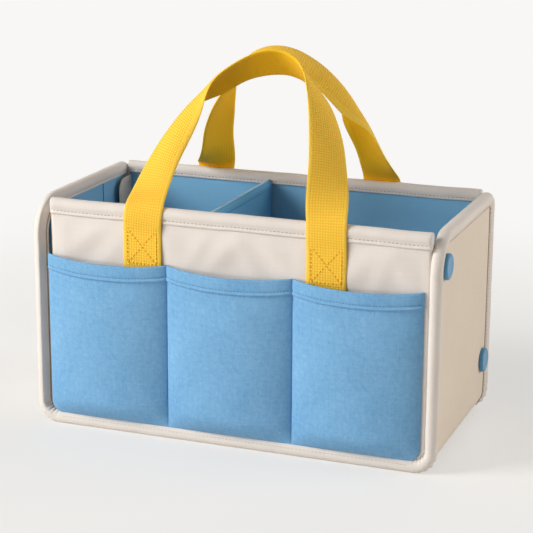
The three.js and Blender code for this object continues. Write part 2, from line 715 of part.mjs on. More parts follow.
// Each end is snapped high at the front and low at the back, and is rounder at the front
const right = side('right', [
  { name: 'top', y: -SNAP_Y, z: SNAP_TOP_HEIGHT },
  { name: 'low', y: SNAP_Y, z: SNAP_LOW_HEIGHT },
], [END_FRONT_RADIUS, END_BACK_RADIUS]);
const left = side('left', [
  { name: 'top', y: SNAP_Y, z: SNAP_TOP_HEIGHT },
  { name: 'low', y: -SNAP_Y, z: SNAP_LOW_HEIGHT },
], [END_BACK_RADIUS, END_FRONT_RADIUS]);
left.rotation.z = Math.PI;

const front = face('front', FRONT_HANDLE_X, ARCH_LEAN_X, ['left', 'right']);
front.add(...POCKET_NAMES.map((name, order) => pocket(order)));
const back = face('back', -BACK_HANDLE_X, -ARCH_LEAN_X, ['right', 'left']);
back.rotation.z = Math.PI;

const caddy = new THREE.Group();
caddy.name = 'toy_carry_caddy';
caddy.add(base(), right, left, front, back, divider());

export default caddy;
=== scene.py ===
"""Looks of a toy carry caddy: cloth, binding, webbing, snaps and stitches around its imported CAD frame.

Sizes are in millimetres in the CAD frame (+Z up, front towards -Y), and become metres as a piece is made.
"""
import json
import logging
import math
from collections.abc import Sequence
from dataclasses import dataclass
from enum import Enum

import bpy
import numpy as np
from mathutils import Matrix, Vector

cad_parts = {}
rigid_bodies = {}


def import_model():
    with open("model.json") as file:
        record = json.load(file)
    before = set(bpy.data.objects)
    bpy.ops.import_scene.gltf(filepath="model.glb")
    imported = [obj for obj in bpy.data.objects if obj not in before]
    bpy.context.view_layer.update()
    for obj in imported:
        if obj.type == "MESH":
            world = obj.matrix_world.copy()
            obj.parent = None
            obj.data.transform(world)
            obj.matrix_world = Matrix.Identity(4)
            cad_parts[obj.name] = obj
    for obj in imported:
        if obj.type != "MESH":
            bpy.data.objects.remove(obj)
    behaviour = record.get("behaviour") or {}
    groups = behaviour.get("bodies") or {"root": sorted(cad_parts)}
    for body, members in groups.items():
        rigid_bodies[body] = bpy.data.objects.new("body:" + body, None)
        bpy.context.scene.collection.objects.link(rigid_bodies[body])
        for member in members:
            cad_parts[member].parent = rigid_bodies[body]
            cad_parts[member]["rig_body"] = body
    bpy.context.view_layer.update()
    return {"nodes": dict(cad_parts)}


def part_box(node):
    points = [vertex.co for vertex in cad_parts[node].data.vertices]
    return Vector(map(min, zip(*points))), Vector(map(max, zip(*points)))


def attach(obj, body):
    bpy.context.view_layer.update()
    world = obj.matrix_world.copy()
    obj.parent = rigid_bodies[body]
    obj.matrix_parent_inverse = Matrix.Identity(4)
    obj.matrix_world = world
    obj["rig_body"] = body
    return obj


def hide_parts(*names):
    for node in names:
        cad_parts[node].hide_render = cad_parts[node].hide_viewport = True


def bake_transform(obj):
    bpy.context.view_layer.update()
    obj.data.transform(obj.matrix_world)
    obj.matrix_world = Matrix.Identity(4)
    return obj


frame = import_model()
LOG = logging.getLogger("caddy")
MM = 0.001
IMAGE_SIDE = 533
QUARTER = math.pi / 2
EDGE_REACH = 0.32
EDGE_THIN = 0.5
Array = np.ndarray
Piece = bpy.types.Object
Socket = bpy.types.NodeSocket
Pair = tuple[float, float]
Triple = tuple[float, float, float]
Knots = Sequence[Pair]


class Place(Enum):
    """A place on the caddy, with its sign along an axis."""

    @property
    def tag(self) -> str:
        """The name that the CAD nodes of this place start with."""
        return self.name.lower()


class Side(Place):
    """An end of the caddy, with its sign along X."""

    RIGHT = 1
    LEFT = -1


class Face(Place):
    """A long wall of the caddy, with the sign that turns the front wall's X and Y into its own."""

    FRONT = 1
    BACK = -1

    def turn(self, points: Array | Sequence) -> Array:
        """Turns points of the front wall about Z into this wall's place."""
        return np.asarray(points) * np.array([self.value, self.value, 1.0])


# Shader maths


class Val:
    """A shader value that takes part in Python expressions, each of which adds a Math node."""

    def __init__(self, graph: "Graph", socket: Socket) -> None:
        """Wraps one output socket of a graph."""
        self.graph = graph
        self.socket = socket

    def __add__(self, other: "Val | float") -> "Val":
        """Sum."""
        return self.graph.maths("ADD", self, other)

    def __sub__(self, other: "Val | float") -> "Val":
        """Difference."""
        return self.graph.maths("SUBTRACT", self, other)

    def __rsub__(self, other: float) -> "Val":
        """Difference from a number."""
        return self.graph.maths("SUBTRACT", other, self)

    def __mul__(self, other: "Val | float") -> "Val":
        """Product."""
        return self.graph.maths("MULTIPLY", self, other)

    def __pow__(self, power: float) -> "Val":
        """Power."""
        return self.graph.maths("POWER", self, power)

    def __abs__(self) -> "Val":
        """Absolute value."""
        return self.graph.maths("ABSOLUTE", self)

    __radd__ = __add__


class Graph:
    """A node tree, with one method for any node and short ones for sums and mixes."""

    def __init__(self, tree: bpy.types.NodeTree) -> None:
        """Starts from an empty tree."""
        self.tree = tree
        tree.nodes.clear()

    def node(self, kind: str, settings: dict | None = None, sockets: dict | None = None) -> bpy.types.Node:
        """Adds a node.

        Args:
            kind: The node's type.
            settings: The node's own properties, which are set first.
            sockets: A value or a link for each input, by name or number.

        Returns:
            The new node.
        """
        made = self.tree.nodes.new(kind)
        for key, value in (settings or {}).items():
            setattr(made, key, value)
        for key, value in (sockets or {}).items():
            source = value.socket if isinstance(value, Val) else value
            if isinstance(source, bpy.types.NodeSocket):
                self.tree.links.new(source, made.inputs[key])
            else:
                made.inputs[key].default_value = source
        return made

    def maths(self, operation: str, *terms: "Val | float") -> Val:
        """Adds a Math node on values."""
        made = self.node("ShaderNodeMath", {"operation": operation}, dict(enumerate(terms)))
        return Val(self, made.outputs[0])

    def wave(self, run: Val, pitch: float) -> Val:
        """A sine of a length, from -1 to 1, once in each pitch."""
        return self.maths("SINE", run * (2 * math.pi / pitch))

    def mix(self, share: "Val | float", low: object, high: object) -> Socket:
        """Mixes two colours by a share."""
        settings = {"data_type": "RGBA", "blend_type": "MIX", "clamp_factor": True}
        return self.node("ShaderNodeMix", settings, {0: share, 6: low, 7: high}).outputs[2]

    def place(self, u: Val, v: Val, w: float = 0.0) -> Socket:
        """Makes a vector of three values."""
        return self.node("ShaderNodeCombineXYZ", None, {0: u, 1: v, 2: w}).outputs[0]

    def spot(self) -> Socket:
        """The point's own place, in metres."""
        return self.node("ShaderNodeTexCoord").outputs["Object"]

    def noise(self, vector: Socket, scale: float, detail: float = 2.0) -> Val:
        """A noise of about 0 to 1 around a half."""
        sockets = {"Vector": vector, "Scale": scale, "Detail": detail, "Roughness": 0.55}
        return Val(self, self.node("ShaderNodeTexNoise", None, sockets).outputs["Fac"])

    def cloth(self) -> list[Val]:
        """The cloth's own lengths at a point, across and along, in millimetres, and 1 on its inner face."""
        read = self.node("ShaderNodeAttribute", {"attribute_name": "cloth"}).outputs["Vector"]
        return [Val(self, part) for part in self.node("ShaderNodeSeparateXYZ", None, {0: read}).outputs]


def tint(code: str) -> tuple[float, float, float, float]:
    """Turns a six-figure screen colour into a linear one with full alpha."""
    parts = [int(code[i:i + 2], 16) / 255 for i in (0, 2, 4)]
    return *(p / 12.92 if p <= 0.04045 else ((p + 0.055) / 1.055) ** 2.4 for p in parts), 1.0


# Finishes


@dataclass(frozen=True)
class Finish:
    """What every finish has: its name, the record's slot, two tones, its surface and its relief's depth."""

    name: str
    slot: str
    colour: str
    shade: str
    roughness: float = 0.85
    sheen: float = 0.0
    gloss: float = 0.1
    depth: float = 0.06

    def tones(self, graph: Graph, dark: Val) -> Socket:
        """Mixes the finish's two tones by a share of the darker one."""
        return graph.mix(dark, tint(self.colour), tint(self.shade))

    def pattern(self, graph: Graph) -> tuple[Socket, Val]:
        """Draws the finish's colour and its height from 0 to 1."""
        fine = graph.noise(graph.spot(), 420.0, 3.0)
        return self.tones(graph, fine), fine

    def material(self) -> bpy.types.Material:
        """Makes the finish's material at its first use.

        Returns:
            The material.
        """
        found = bpy.data.materials.get(self.name)
        if found:
            return found
        made = bpy.data.materials.new(self.name)
        made.use_nodes = True
        graph = Graph(made.node_tree)
        colour, height = self.pattern(graph)
        relief = {"Strength": 0.8, "Distance": self.depth * MM, "Height": height}
        shader = graph.node("ShaderNodeBsdfPrincipled", None, {
            "Base Color": colour, "Roughness": self.roughness + (height - 0.5) * -0.1,
            "Normal": graph.node("ShaderNodeBump", None, relief).outputs[0],
            "Sheen Weight": self.sheen, "Sheen Roughness": 0.45, "Specular IOR Level": self.gloss,
        })
        graph.node("ShaderNodeOutputMaterial", None, {"Surface": shader.outputs[0]})
        return made


@dataclass(frozen=True)
class Woven(Finish):
    """A plain weave with slubs along both threads, brushed into a nap where it has fuzz."""

    depth: float = 0.12
    thread: float = 0.4
    slub: float = 0.25
    fuzz: float = 0.1
    slub_scale: Pair = (0.75, 0.035)
    nap_scale: Pair = (0.8, 0.33)
    cloud_scale: float = 0.022

    def pattern(self, graph: Graph) -> tuple[Socket, Val]:
        """Draws threads, slubs and nap.

        Args:
            graph: The material's node graph.

        Returns:
            The colour and the height.
        """
        u, v, _ = graph.cloth()
        fine, long = self.slub_scale
        threads = graph.wave(u, 2 * self.thread) * graph.wave(v, 2 * self.thread)
        warp = graph.noise(graph.place(u * fine, v * long), 1.0, 3.0)
        weft = graph.noise(graph.place(u * long, v * fine, 5.0), 1.0, 3.0)
        tufts = graph.noise(graph.place(u, v, 9.0), self.nap_scale[0], 4.0)
        patches = graph.noise(graph.place(u, v, 7.0), self.nap_scale[1], 3.0)
        nap = (tufts * 0.5 + patches * 0.5 - 0.5) * self.fuzz
        cloud = graph.noise(graph.place(u, v, 3.0), self.cloud_scale)
        slubs = warp + weft - 1.0
        dark = 0.5 + slubs * self.slub + nap * 2.7 + (cloud - 0.5) * 0.5 + threads * -0.06
        return self.tones(graph, dark), 0.5 + threads * 0.16 + slubs * 0.5 + nap * 2.4


@dataclass(frozen=True)
class Webbing(Finish):
    """Strap webbing: square cells between ribs both ways, a smooth woven edge, and painted shade on its under
    face.
    """

    depth: float = 0.35
    # painted shade: the under face's tones are deeper and more orange, as the webbing looks where it lies in
    # shade
    under: tuple[str, str] = ("ffd22e", "f8af0a")
    cell: float = 2.0
    half_width: float = 15.0
    edge: float = 1.6
    twill: float = 1.1

    def pattern(self, graph: Graph) -> tuple[Socket, Val]:
        """Draws the grid of cells and the edges, and paints shade on the under face in deeper tones.

        Args:
            graph: The material's node graph.

        Returns:
            The colour and the height.
        """
        u, v, side = graph.cloth()
        rib, pick = (abs(graph.wave(run, 2 * self.cell)) for run in (u, v))
        start = self.half_width - self.edge
        span = {"Value": abs(u), "From Min": start - 0.5, "From Max": start}
        border = Val(graph, graph.node("ShaderNodeMapRange", None, span).outputs[0])
        twill = 0.75 + graph.wave(v + abs(u) * 1.5, self.twill) * 0.2
        face = (rib * pick) ** 0.6 * (1.0 - border) + twill * border
        yarn = graph.noise(graph.place(u, v), 1.3, 3.0) - 0.5
        light = face * 0.9 + yarn * 0.4
        top = graph.mix(light, tint(self.shade), tint(self.colour))
        # painted shade: the under face takes the deeper under tones
        below = graph.mix(light, tint(self.under[1]), tint(self.under[0]))
        return graph.mix(side, top, below), (face + yarn * 0.25) * (1.0 - side * 0.7)


@dataclass(frozen=True)
class Twisted(Finish):
    """Sewing thread, with its two plies wound round each other."""

    roughness: float = 0.8
    depth: float = 0.08
    twist: float = 0.8

    def pattern(self, graph: Graph) -> tuple[Socket, Val]:
        """Draws the plies.

        Args:
            graph: The material's node graph.

        Returns:
            The colour and the height.
        """
        u, v, _ = graph.cloth()
        ply = 0.5 + graph.wave(v + u * 0.5, self.twist) * 0.5
        return graph.mix(ply, tint(self.shade), tint(self.colour)), ply


@dataclass(frozen=True)
class Moulded(Finish):
    """Moulded plastic with a fine satin grain."""

    depth: float = 0.02

    def pattern(self, graph: Graph) -> tuple[Socket, Val]:
        """Draws the grain and a faint clouding."""
        grain, cloud = (graph.noise(graph.spot(), scale) for scale in (2600.0, 160.0))
        return self.tones(graph, cloud * 0.8 + grain * 0.2), grain


CANVAS = Woven("cream_canvas", "canvas", "ebe5e1", "dbd3cd", 0.88, 0.1, thread=0.55, slub=0.35)
END_CANVAS = Woven("end_canvas", "canvas", "ebe0d3", "dccebe", 0.88, 0.1, thread=0.55, slub=0.55)
TAPE = Woven("binding_tape", "binding", "ede7e2", "ddd5ce", 0.82, 0.1, thread=0.45, fuzz=0.12)
BRUSHED = Woven("brushed_blue", "pocket", "8ec0e7", "619bcc", 0.95, 0.12, depth=0.25, thread=0.65, slub=0.4,
                fuzz=0.55)
LINING = Woven("lining_blue", "lining", "8ec6ea", "78b2d8", sheen=0.03)
# painted highlight: a lighter blue for the cord on the divider's top, standing for the light on its fold
FOLD_HIGHLIGHT = Woven("fold_blue", "lining", "b4daf2", "9bc8e6", sheen=0.1)
DIVIDER = Woven("divider_blue", "lining", "6fb2de", "5b9fcd", sheen=0.03)
STRAP = Webbing("yellow_webbing", "webbing", "ffdc5a", "f6b52a", 0.7, 0.05)
CREAM_THREAD = Twisted("cream_thread", "canvas", "ece4d8", "c6b8a6")
HEM_THREAD = Twisted("hem_thread", "canvas", "d6cab9", "9d8e7b")
# painted shade: dark tan cords that lie in the binding's grooves as their shadow lines
SEAM_SHADOW = Twisted("seam_thread", "binding", "b8a78f", "94826c", 0.9)
BLUE_THREAD = Twisted("blue_thread", "pocket", "5c94c0", "356693")
YELLOW_THREAD = Twisted("yellow_thread", "webbing", "ffd24e", "e6a828")
SNAP = Moulded("snap_plastic", "snap", "5f9dc6", "558fb9", 0.38, 0.0, 0.3)
BOARD = Finish("grey_board", "board", "a39a8c", "8e8577", 0.92)
FELT = Finish("white_padding", "padding", "f2f0ea", "dedbd2", 0.97)
HOOK = Finish("hook_tape", "hook", "4a86b8", "2f618f", 0.9)


# Lines and grids of points


def unit(vectors: Array) -> Array:
    """Scales vectors to length one along the last axis."""
    return vectors / np.maximum(np.linalg.norm(vectors, axis=-1, keepdims=True), 1e-9)


def smooth(low: float, high: float, value: Array) -> Array:
    """A soft step from 0 at low to 1 at high."""
    t = np.clip((value - low) / (high - low), 0.0, 1.0)
    return t * t * (3.0 - 2.0 * t)


def bump(offset: Array, width: float) -> Array:
    """A soft bump of height 1 that fades over a width on both sides."""
    return np.exp(-((offset / width) ** 2))


def ripple(run: Array, height: float, wave: float, seed: float) -> Array:
    """Makes an uneven wave.

    Args:
        run: The lengths run along it.
        height: About how far it goes up and down.
        wave: Its length.
        seed: Where it starts.

    Returns:
        Its height at each length.
    """
    a = run * (2 * math.pi / wave)
    return height * (0.5 * np.sin(a + seed) + 0.3 * np.sin(1.73 * a + 2.1 * seed)
                     + 0.2 * np.sin(2.91 * a + 0.7))


def trim(z: Array, low: float, radius: float) -> Array:
    """How far a rounded bottom corner draws a side edge in at heights."""
    below = np.clip(low + radius - z, 0, radius)
    return radius - np.sqrt(np.maximum(radius**2 - below**2, 0))


def grid(x: Array | float, y: Array | float, z: Array | float) -> Array:
    """Joins coordinates into points, each spread over the rows and columns of the others."""
    return np.stack(np.broadcast_arrays(x, y, z), -1)


def run_of(line: Array) -> Array:
    """The length run along a line at each of its points."""
    return np.concatenate([[0.0], np.cumsum(np.linalg.norm(np.diff(line, axis=0), axis=1))])


def sampled(line: Array, run: Array, at: Array) -> Array:
    """Reads a line's points at lengths run along it."""
    return np.stack([np.interp(at, run, column) for column in line.T], -1)


def spline(knots: Knots, count: int) -> Array:
    """Samples a smooth line through knots at even lengths.

    Args:
        knots: Points of the line, in order.
        count: How many samples to take.

    Returns:
        The samples, one row each.
    """
    p = np.array(knots, float)
    p = np.vstack([2 * p[0] - p[1], p, 2 * p[-1] - p[-2]])
    t = np.linspace(0, 1, 12, endpoint=False)[:, None]
    parts = [2 * b + (c - a) * t + (2 * a - 5 * b + 4 * c - d) * t**2 + (3 * b - a - 3 * c + d) * t**3
             for a, b, c, d in zip(p, p[1:], p[2:], p[3:])]
    line = np.vstack([0.5 * np.vstack(parts), p[-2]])
    run = run_of(line)
    return sampled(line, run, np.linspace(0, run[-1], count))


def rounded(line: Array, spread: float) -> Array:
    """Rounds the bends of a line.

    Args:
        line: Its points.
        spread: Over how many points a bend is spread.

    Returns:
        As many points of the rounder line.
    """
    reach = math.ceil(3.5 * spread)
    share = np.exp(-0.5 * (np.arange(-reach, reach + 1) / spread) ** 2)
    pad = np.pad(line, ((reach, reach), (0, 0)), mode="reflect", reflect_type="odd")
    return np.stack([np.convolve(column, share / share.sum(), "valid") for column in pad.T], -1)


def rings(index: Array) -> Array:
    """The quads between neighbouring closed rings of point numbers."""
    here, there = index[..., :-1, :], index[..., 1:, :]
    return np.stack([here, np.roll(here, -1, -1), np.roll(there, -1, -1), there], -1).reshape(-1, 4)


# Pieces


def linked(name: str, data: bpy.types.ID) -> Piece:
    """Puts a new object into the scene.

    Args:
        name: Its name.
        data: Its mesh, lamp or camera.

    Returns:
        The object.
    """
    made = bpy.data.objects.new(name, data)
    bpy.context.scene.collection.objects.link(made)
    return made


def make(name: str, points: Array, faces: list, marks: Array, finish: Finish, sharp: float = 50.0) -> Piece:
    """Makes a piece of points in millimetres.

    Args:
        name: The piece's name.
        points: Its points.
        faces: Its faces, as point numbers.
        marks: Each point's own lengths on the cloth.
        finish: What it is finished in.
        sharp: The angle past which an edge stays sharp, in degrees.

    Returns:
        The new object, dressed and in place.
    """
    mesh = bpy.data.meshes.new(name)
    mesh.from_pydata((points * MM).tolist(), [], faces)
    mesh.validate()
    marked = mesh.attributes.new("cloth", "FLOAT_VECTOR", "POINT")
    marked.data.foreach_set("vector", marks.astype(np.float32).ravel())
    mesh.shade_smooth()
    mesh.set_sharp_from_angle(angle=math.radians(sharp))
    mesh.materials.append(finish.material())
    made = linked(name, mesh)
    LOG.info("%s: %d points in %s", name, len(points), finish.name)
    return made


def eased(faces: Array) -> Array:
    """Rounds a cloth's cut edges by drawing its two faces together just past them.

    Args:
        faces: The outer and the inner face, as rows of points.

    Returns:
        Both faces with one more row and column at each edge.
    """
    for _ in range(2):
        middle = faces.mean(0)
        half = faces - middle
        thick = np.linalg.norm(faces[0] - faces[1], axis=-1, keepdims=True)
        ends = []
        for edge, beside in ((0, 1), (-1, -2)):
            out = unit(middle[edge] - middle[beside]) * thick[edge] * EDGE_REACH
            ends.append((middle[edge] + out + half[:, edge] * EDGE_THIN)[:, None])
        faces = np.concatenate([ends[0], faces, ends[1]], axis=1).swapaxes(1, 2)
    return faces


def loft(outer: Array, inner: Array) -> tuple[Array, list]:
    """Joins two faces of a cloth, or two lines of a section at each station, into one closed skin.

    Args:
        outer: One face, as rows of points.
        inner: The other face, with the same rows.

    Returns:
        The points and the quads, which face outwards.
    """
    rows, across, _ = outer.shape
    count = 2 * across
    index = np.arange(rows * count).reshape(rows, count)
    j = np.arange(across - 1)
    first = np.stack([j + 1, j, count - 1 - j, count - 2 - j], -1)
    quads = np.vstack([rings(index), first, first[:, ::-1] + index[-1, 0]])
    points = np.concatenate([outer, inner[:, ::-1]], axis=1).reshape(-1, 3)
    a, b, c, d = points[quads.T]
    volume = np.einsum("ij,ij->", np.cross(b - a, c - a) + np.cross(c - a, d - a), a)
    return points, (quads if volume > 0 else quads[:, ::-1]).tolist()


def cloth(name: str, faces: Sequence[Array], finish: Finish, ease: bool = True) -> Piece:
    """Makes a cloth.

    Args:
        name: The piece's name.
        faces: Its outer and its inner face, as rows of points in millimetres.
        finish: What it is finished in.
        ease: Whether its cut edges are rounded.

    Returns:
        The new object, marked with the cloth's own lengths.
    """
    outer, inner = eased(np.asarray(faces)) if ease else faces
    across = np.cumsum(np.linalg.norm(np.diff(outer, axis=1), axis=-1), axis=1)
    u = np.pad(across, ((0, 0), (1, 0)))
    v = run_of(outer[:, outer.shape[1] // 2])[:, None]
    marks = grid(u - u[:, -1:] / 2, v, 0.0)
    both = np.concatenate([marks, marks[:, ::-1] + np.array([0.0, 0.0, 1.0])], 1)
    return make(name, *loft(outer, inner), both, finish)


def tube(name: str, line: Array, radius: float, finish: Finish) -> Piece:
    """Makes a round cord.

    Args:
        name: The piece's name.
        line: Points of its middle, in millimetres.
        radius: Its radius.
        finish: What it is finished in.

    Returns:
        The new object.
    """
    along = unit(np.gradient(line, axis=0))
    side = unit(np.cross(along, np.array([0.31, 0.17, 0.93])))
    rise = np.cross(along, side)
    turns = np.linspace(0.2, math.pi - 0.2, 5)[:, None]
    halves = [line[:, None] + radius * (np.cos(t) * side[:, None] + np.sin(t) * rise[:, None])
              for t in (turns, -turns)]
    return cloth(name, halves, finish, ease=False)


@dataclass(frozen=True)
class Stitching:
    """A kind of stitch: its pitch and thread, and its girth and height at shares of its half length."""

    pitch: float = 3.0
    radius: float = 0.33
    share: tuple[float, ...] = (-1.0, -0.86, -0.45, 0.0, 0.45, 0.86, 1.0)
    girth: tuple[float, ...] = (0.25, 0.7, 0.95, 1.0, 0.95, 0.7, 0.25)
    height: tuple[float, ...] = (-1.1, -0.45, 0.05, 0.15, 0.05, -0.45, -1.1)
    fill: float = 0.37
    sides: int = 6

    def sew(self, name: str, line: Array, normal: Array | Sequence[float], finish: Finish) -> Piece:
        """Sews a row of stitches along a line that lies on a cloth.

        Args:
            name: The piece's name.
            line: Points of the row, in millimetres.
            normal: The cloth's outward direction, for the whole row or at each point.
            finish: The thread.

        Returns:
            One object with every stitch of the row.
        """
        run = run_of(line)
        count = max(2, int(run[-1] / self.pitch))
        starts = (np.arange(count) + 0.5) * run[-1] / count
        at = sampled(line, run, starts)
        out = unit(sampled(np.broadcast_to(np.array(normal, float), line.shape), run, starts))
        along = unit(sampled(line, run, starts + 0.5) - sampled(line, run, starts - 0.5))
        share = np.array(self.share)
        girth, height = (self.radius * np.array(part) for part in (self.girth, self.height))
        reach = self.fill * run[-1] / count
        turns = np.arange(self.sides) * 2 * math.pi / self.sides
        ring = np.cos(turns)[:, None, None] * np.cross(out, along) + np.sin(turns)[:, None, None] * out
        points = [at + along * reach * s + out * h + ring * g for s, g, h in zip(share, girth, height)]
        points = np.stack(points).transpose(2, 0, 1, 3)
        index = np.arange(points[..., 0].size).reshape(points.shape[:3])
        caps = [index[:, end, ::step][:, pick] for end, step in ((0, -1), (-1, 1))
                for pick in ([0, 1, 2, 3], [0, 3, 4, 5])]
        marks = np.broadcast_to(grid(turns * self.radius, (share * reach)[:, None], 0.0), points.shape)
        faces = np.vstack([rings(index), *caps]).tolist()
        return make(name, points.reshape(-1, 3), faces, marks, finish, 80.0)


PLAIN_STITCH = Stitching()
FINE_STITCH = Stitching(radius=0.28)
POCKET_STITCH = Stitching(2.4, 0.24)
BOX_STITCH = Stitching(radius=0.52)


def on_body(piece: Piece, body: str, *nodes: str) -> Piece:
    """Lets a piece ride on a body.

    Args:
        piece: The piece.
        body: The body.
        nodes: The CAD nodes that it stands for.

    Returns:
        The same piece.
    """
    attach(piece, body)
    if nodes:
        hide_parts(*nodes)
    return piece


# The stiff strip


@dataclass
class Strip:
    """The stiff strip's half that makes one end and half of the base, with its rolled binding."""

    side: Side
    flat: float = 140.5
    fold: float = 17.0
    top: float = 176.0
    half_depth: float = 79.0
    front_corner: float = 29.0
    back_corner: float = 13.0
    thick: float = 8.4
    inset: float = 3.3
    cover_depth: Pair = (1.5, 2.7)
    lining_depth: Pair = (6.9, 5.7)
    lining_inset: float = 8.2
    crown: float = 0.7
    crown_ease: Pair = (30.0, 40.0)
    crown_wave: Triple = (0.1, 63.0, 1.0)
    roll: Knots = (
        (10.3, 1.75), (10.15, 1.0), (9.6, 0.5), (8.8, 0.42), (7.8, 0.0), (6.4, -0.55), (4.8, -0.9),
        (3.2, -0.7), (1.5, 0.35), (0.4, 2.1), (0.0, 4.2))
    slot: Knots = ((9.9, 2.3), (8.0, 1.9), (5.0, 1.7), (3.4, 2.2), (3.0, 4.2))
    roll_swell: Triple = (0.25, 47.0, 0.6)
    roll_waver: Triple = (0.12, 31.0, 2.0)
    roll_body: float = 8.0
    pucker_at: float = 0.8
    pucker_from: float = 60.0
    pucker_reach: float = 13.0
    pucker_pitch: float = 5.2
    floor_gap: float = 0.05
    nose: Pair = (0.3, 0.75)
    nose_reach: float = 45.0
    slim_from: float = 1.6
    slim_back: float = 0.93
    slim_span: Pair = (3.0, 10.0)
    # the two seam cords are dark, painted shadow lines in the grooves beside the piping and the lip
    cords: tuple[tuple[str, float, float, float], ...] = (
        ("inner_piping", 8.6, 7.75, 0.8), ("inner_seam", 7.2, 7.45, 0.42), ("outer_seam", 10.45, 1.4, 0.42))
    seam_reach: float = 8.9
    seam_depth: float = 0.4
    base_seam: Pair = (0.36, 6.2)
    lining_seam: float = 27.0
    lining_seam_ease: Pair = (8.2, 48.0)
    lining_seam_start: float = 2.2
    lining_seam_drop: float = 9.0
    lining_seam_lift: float = 0.86
    lining_seam_radius: float = 0.4

    @property
    def bent(self) -> float:
        """The strip's length from the middle of the base to the upper end of a fold."""
        return self.flat + self.fold * QUARTER

    @property
    def length(self) -> float:
        """The strip's length from the middle of the base to the top of an end."""
        return self.bent + self.top - self.fold

    def place(self, s: Array, y: Array | float, t: Array | float) -> Array:
        """Wraps points of the flat strip round the fold.

        Args:
            s: Lengths along the strip, from the middle of the base.
            y: Places across it.
            t: Depths inwards from its outer face.

        Returns:
            The points in the CAD frame.
        """
        bend = np.clip((s - self.flat) / self.fold, 0.0, QUARTER)
        x = np.minimum(s, self.flat) + (self.fold - t) * np.sin(bend)
        z = self.fold - (self.fold - t) * np.cos(bend) + np.maximum(s - self.bent, 0.0)
        return grid(self.side.value * x, y, z)

    def edge_half(self, corner: float) -> tuple[Array, Array]:
        """Follows the strip's front edge from the middle of the base to the middle of an end's top.

        Args:
            corner: The radius of the end's top corner.

        Returns:
            The places (s, y) of the stations, and the direction inwards at each.
        """
        arc = np.linspace(0, QUARTER, 20)[1:]
        bend, inner = self.length - corner, self.half_depth - corner
        stations = ((0, 132, 40), (134, 172, 48), (175, bend, 52))
        straight = np.concatenate([np.linspace(*row) for row in stations])
        level = np.linspace(-inner, 0, 15)[1:]
        s = np.concatenate([straight, bend + corner * np.sin(arc), np.full(len(level), self.length)])
        y = np.concatenate([np.full(len(straight), -self.half_depth), -inner - corner * np.cos(arc), level])
        lean = np.concatenate([np.zeros(len(straight)), arc, np.full(len(level), QUARTER)])
        return np.stack([s, y], -1), np.stack([-np.sin(lean), np.cos(lean)], -1)

    def edge(self) -> list[Array]:
        """Follows the whole edge, from the base's front over one end to its back, as edge_half says."""
        halves = zip(self.edge_half(self.front_corner), self.edge_half(self.back_corner))
        return [np.vstack([front, back[-2::-1] * np.array([1.0, -1.0])]) for front, back in halves]

    def beside(self, reach: float, depth: float, start: float = -1.0) -> Array:
        """Follows the edge at a reach inside it and a depth, from a length along the strip on."""
        at, inward = self.edge()
        return self.place(*(at + inward * reach)[at[:, 0] > start].T, depth)

    def span(self, s: Array, corner: float, inset: float) -> Array:
        """How far a layer with an inset edge reaches from the strip's middle, past a corner's radius."""
        past = np.clip(s - (self.length - corner), 0, corner - inset)
        return self.half_depth - corner + np.sqrt(np.maximum((corner - inset)**2 - past**2, 0))

    def profile(self, knots: Knots) -> Array:
        """Rounds half a section of the binding over to its other half."""
        return spline([*knots, *((q, self.thick - t) for q, t in knots[-2::-1])], 26)

    def sewn_roll(self, q: Array, t: Array, at: Array) -> tuple[Array, Array]:
        """Lets the roll swell and pucker as sewn tape does, and keeps the base's roll on the floor.

        Args:
            q: The section's places from the edge inwards.
            t: Its depths.
            at: The stations along the edge.

        Returns:
            The places and depths at each station.
        """
        s, run = at[:, :1], run_of(at)[:, None]
        height, wave, seed = self.roll_swell
        away = (t - self.thick / 2) / self.thick
        t = t + away * ripple(run, height, wave, seed + self.side.value)
        q = q - ripple(run, *self.roll_waver) * (q < self.roll_body)
        near = bump(s - self.flat - self.fold * self.pucker_at, self.pucker_reach)
        near = near * (np.abs(at[:, 1:]) > self.pucker_from)
        t = t + np.sin(2 * math.pi * s / self.pucker_pitch + 1.3) * near * away
        free = smooth(self.flat - 4.0, self.flat + self.fold, s)
        return q, np.where(t < self.floor_gap, self.floor_gap * (1 - free) + t * free, t)

    def binding(self) -> Piece:
        """Makes the rolled binding.

        Returns:
            The new object.
        """
        at, inward = self.edge()
        s, y, middle = at[:, :1], at[:, 1:], self.thick / 2
        upright = smooth(self.flat, self.flat + self.fold * self.slim_from, s)
        front = smooth(-self.half_depth + self.nose_reach, -self.half_depth, y)
        thin = (1 - self.nose[self.side is Side.RIGHT]) * upright * front
        faces = []
        for knots in (self.roll, self.slot):
            q, t = self.profile(knots).T[:, None]
            if knots is self.roll:
                q, t = self.sewn_roll(q, t, at)
            slim = 1 - thin * (1 - self.slim_back * smooth(*self.slim_span, q))
            t = np.where(t > middle, middle + (t - middle) * slim, t)
            faces.append(self.place(s + inward[:, :1] * q, y + inward[:, 1:] * q, t))
        return cloth(f"{self.side.tag}_rolled_binding", faces, TAPE, ease=False)

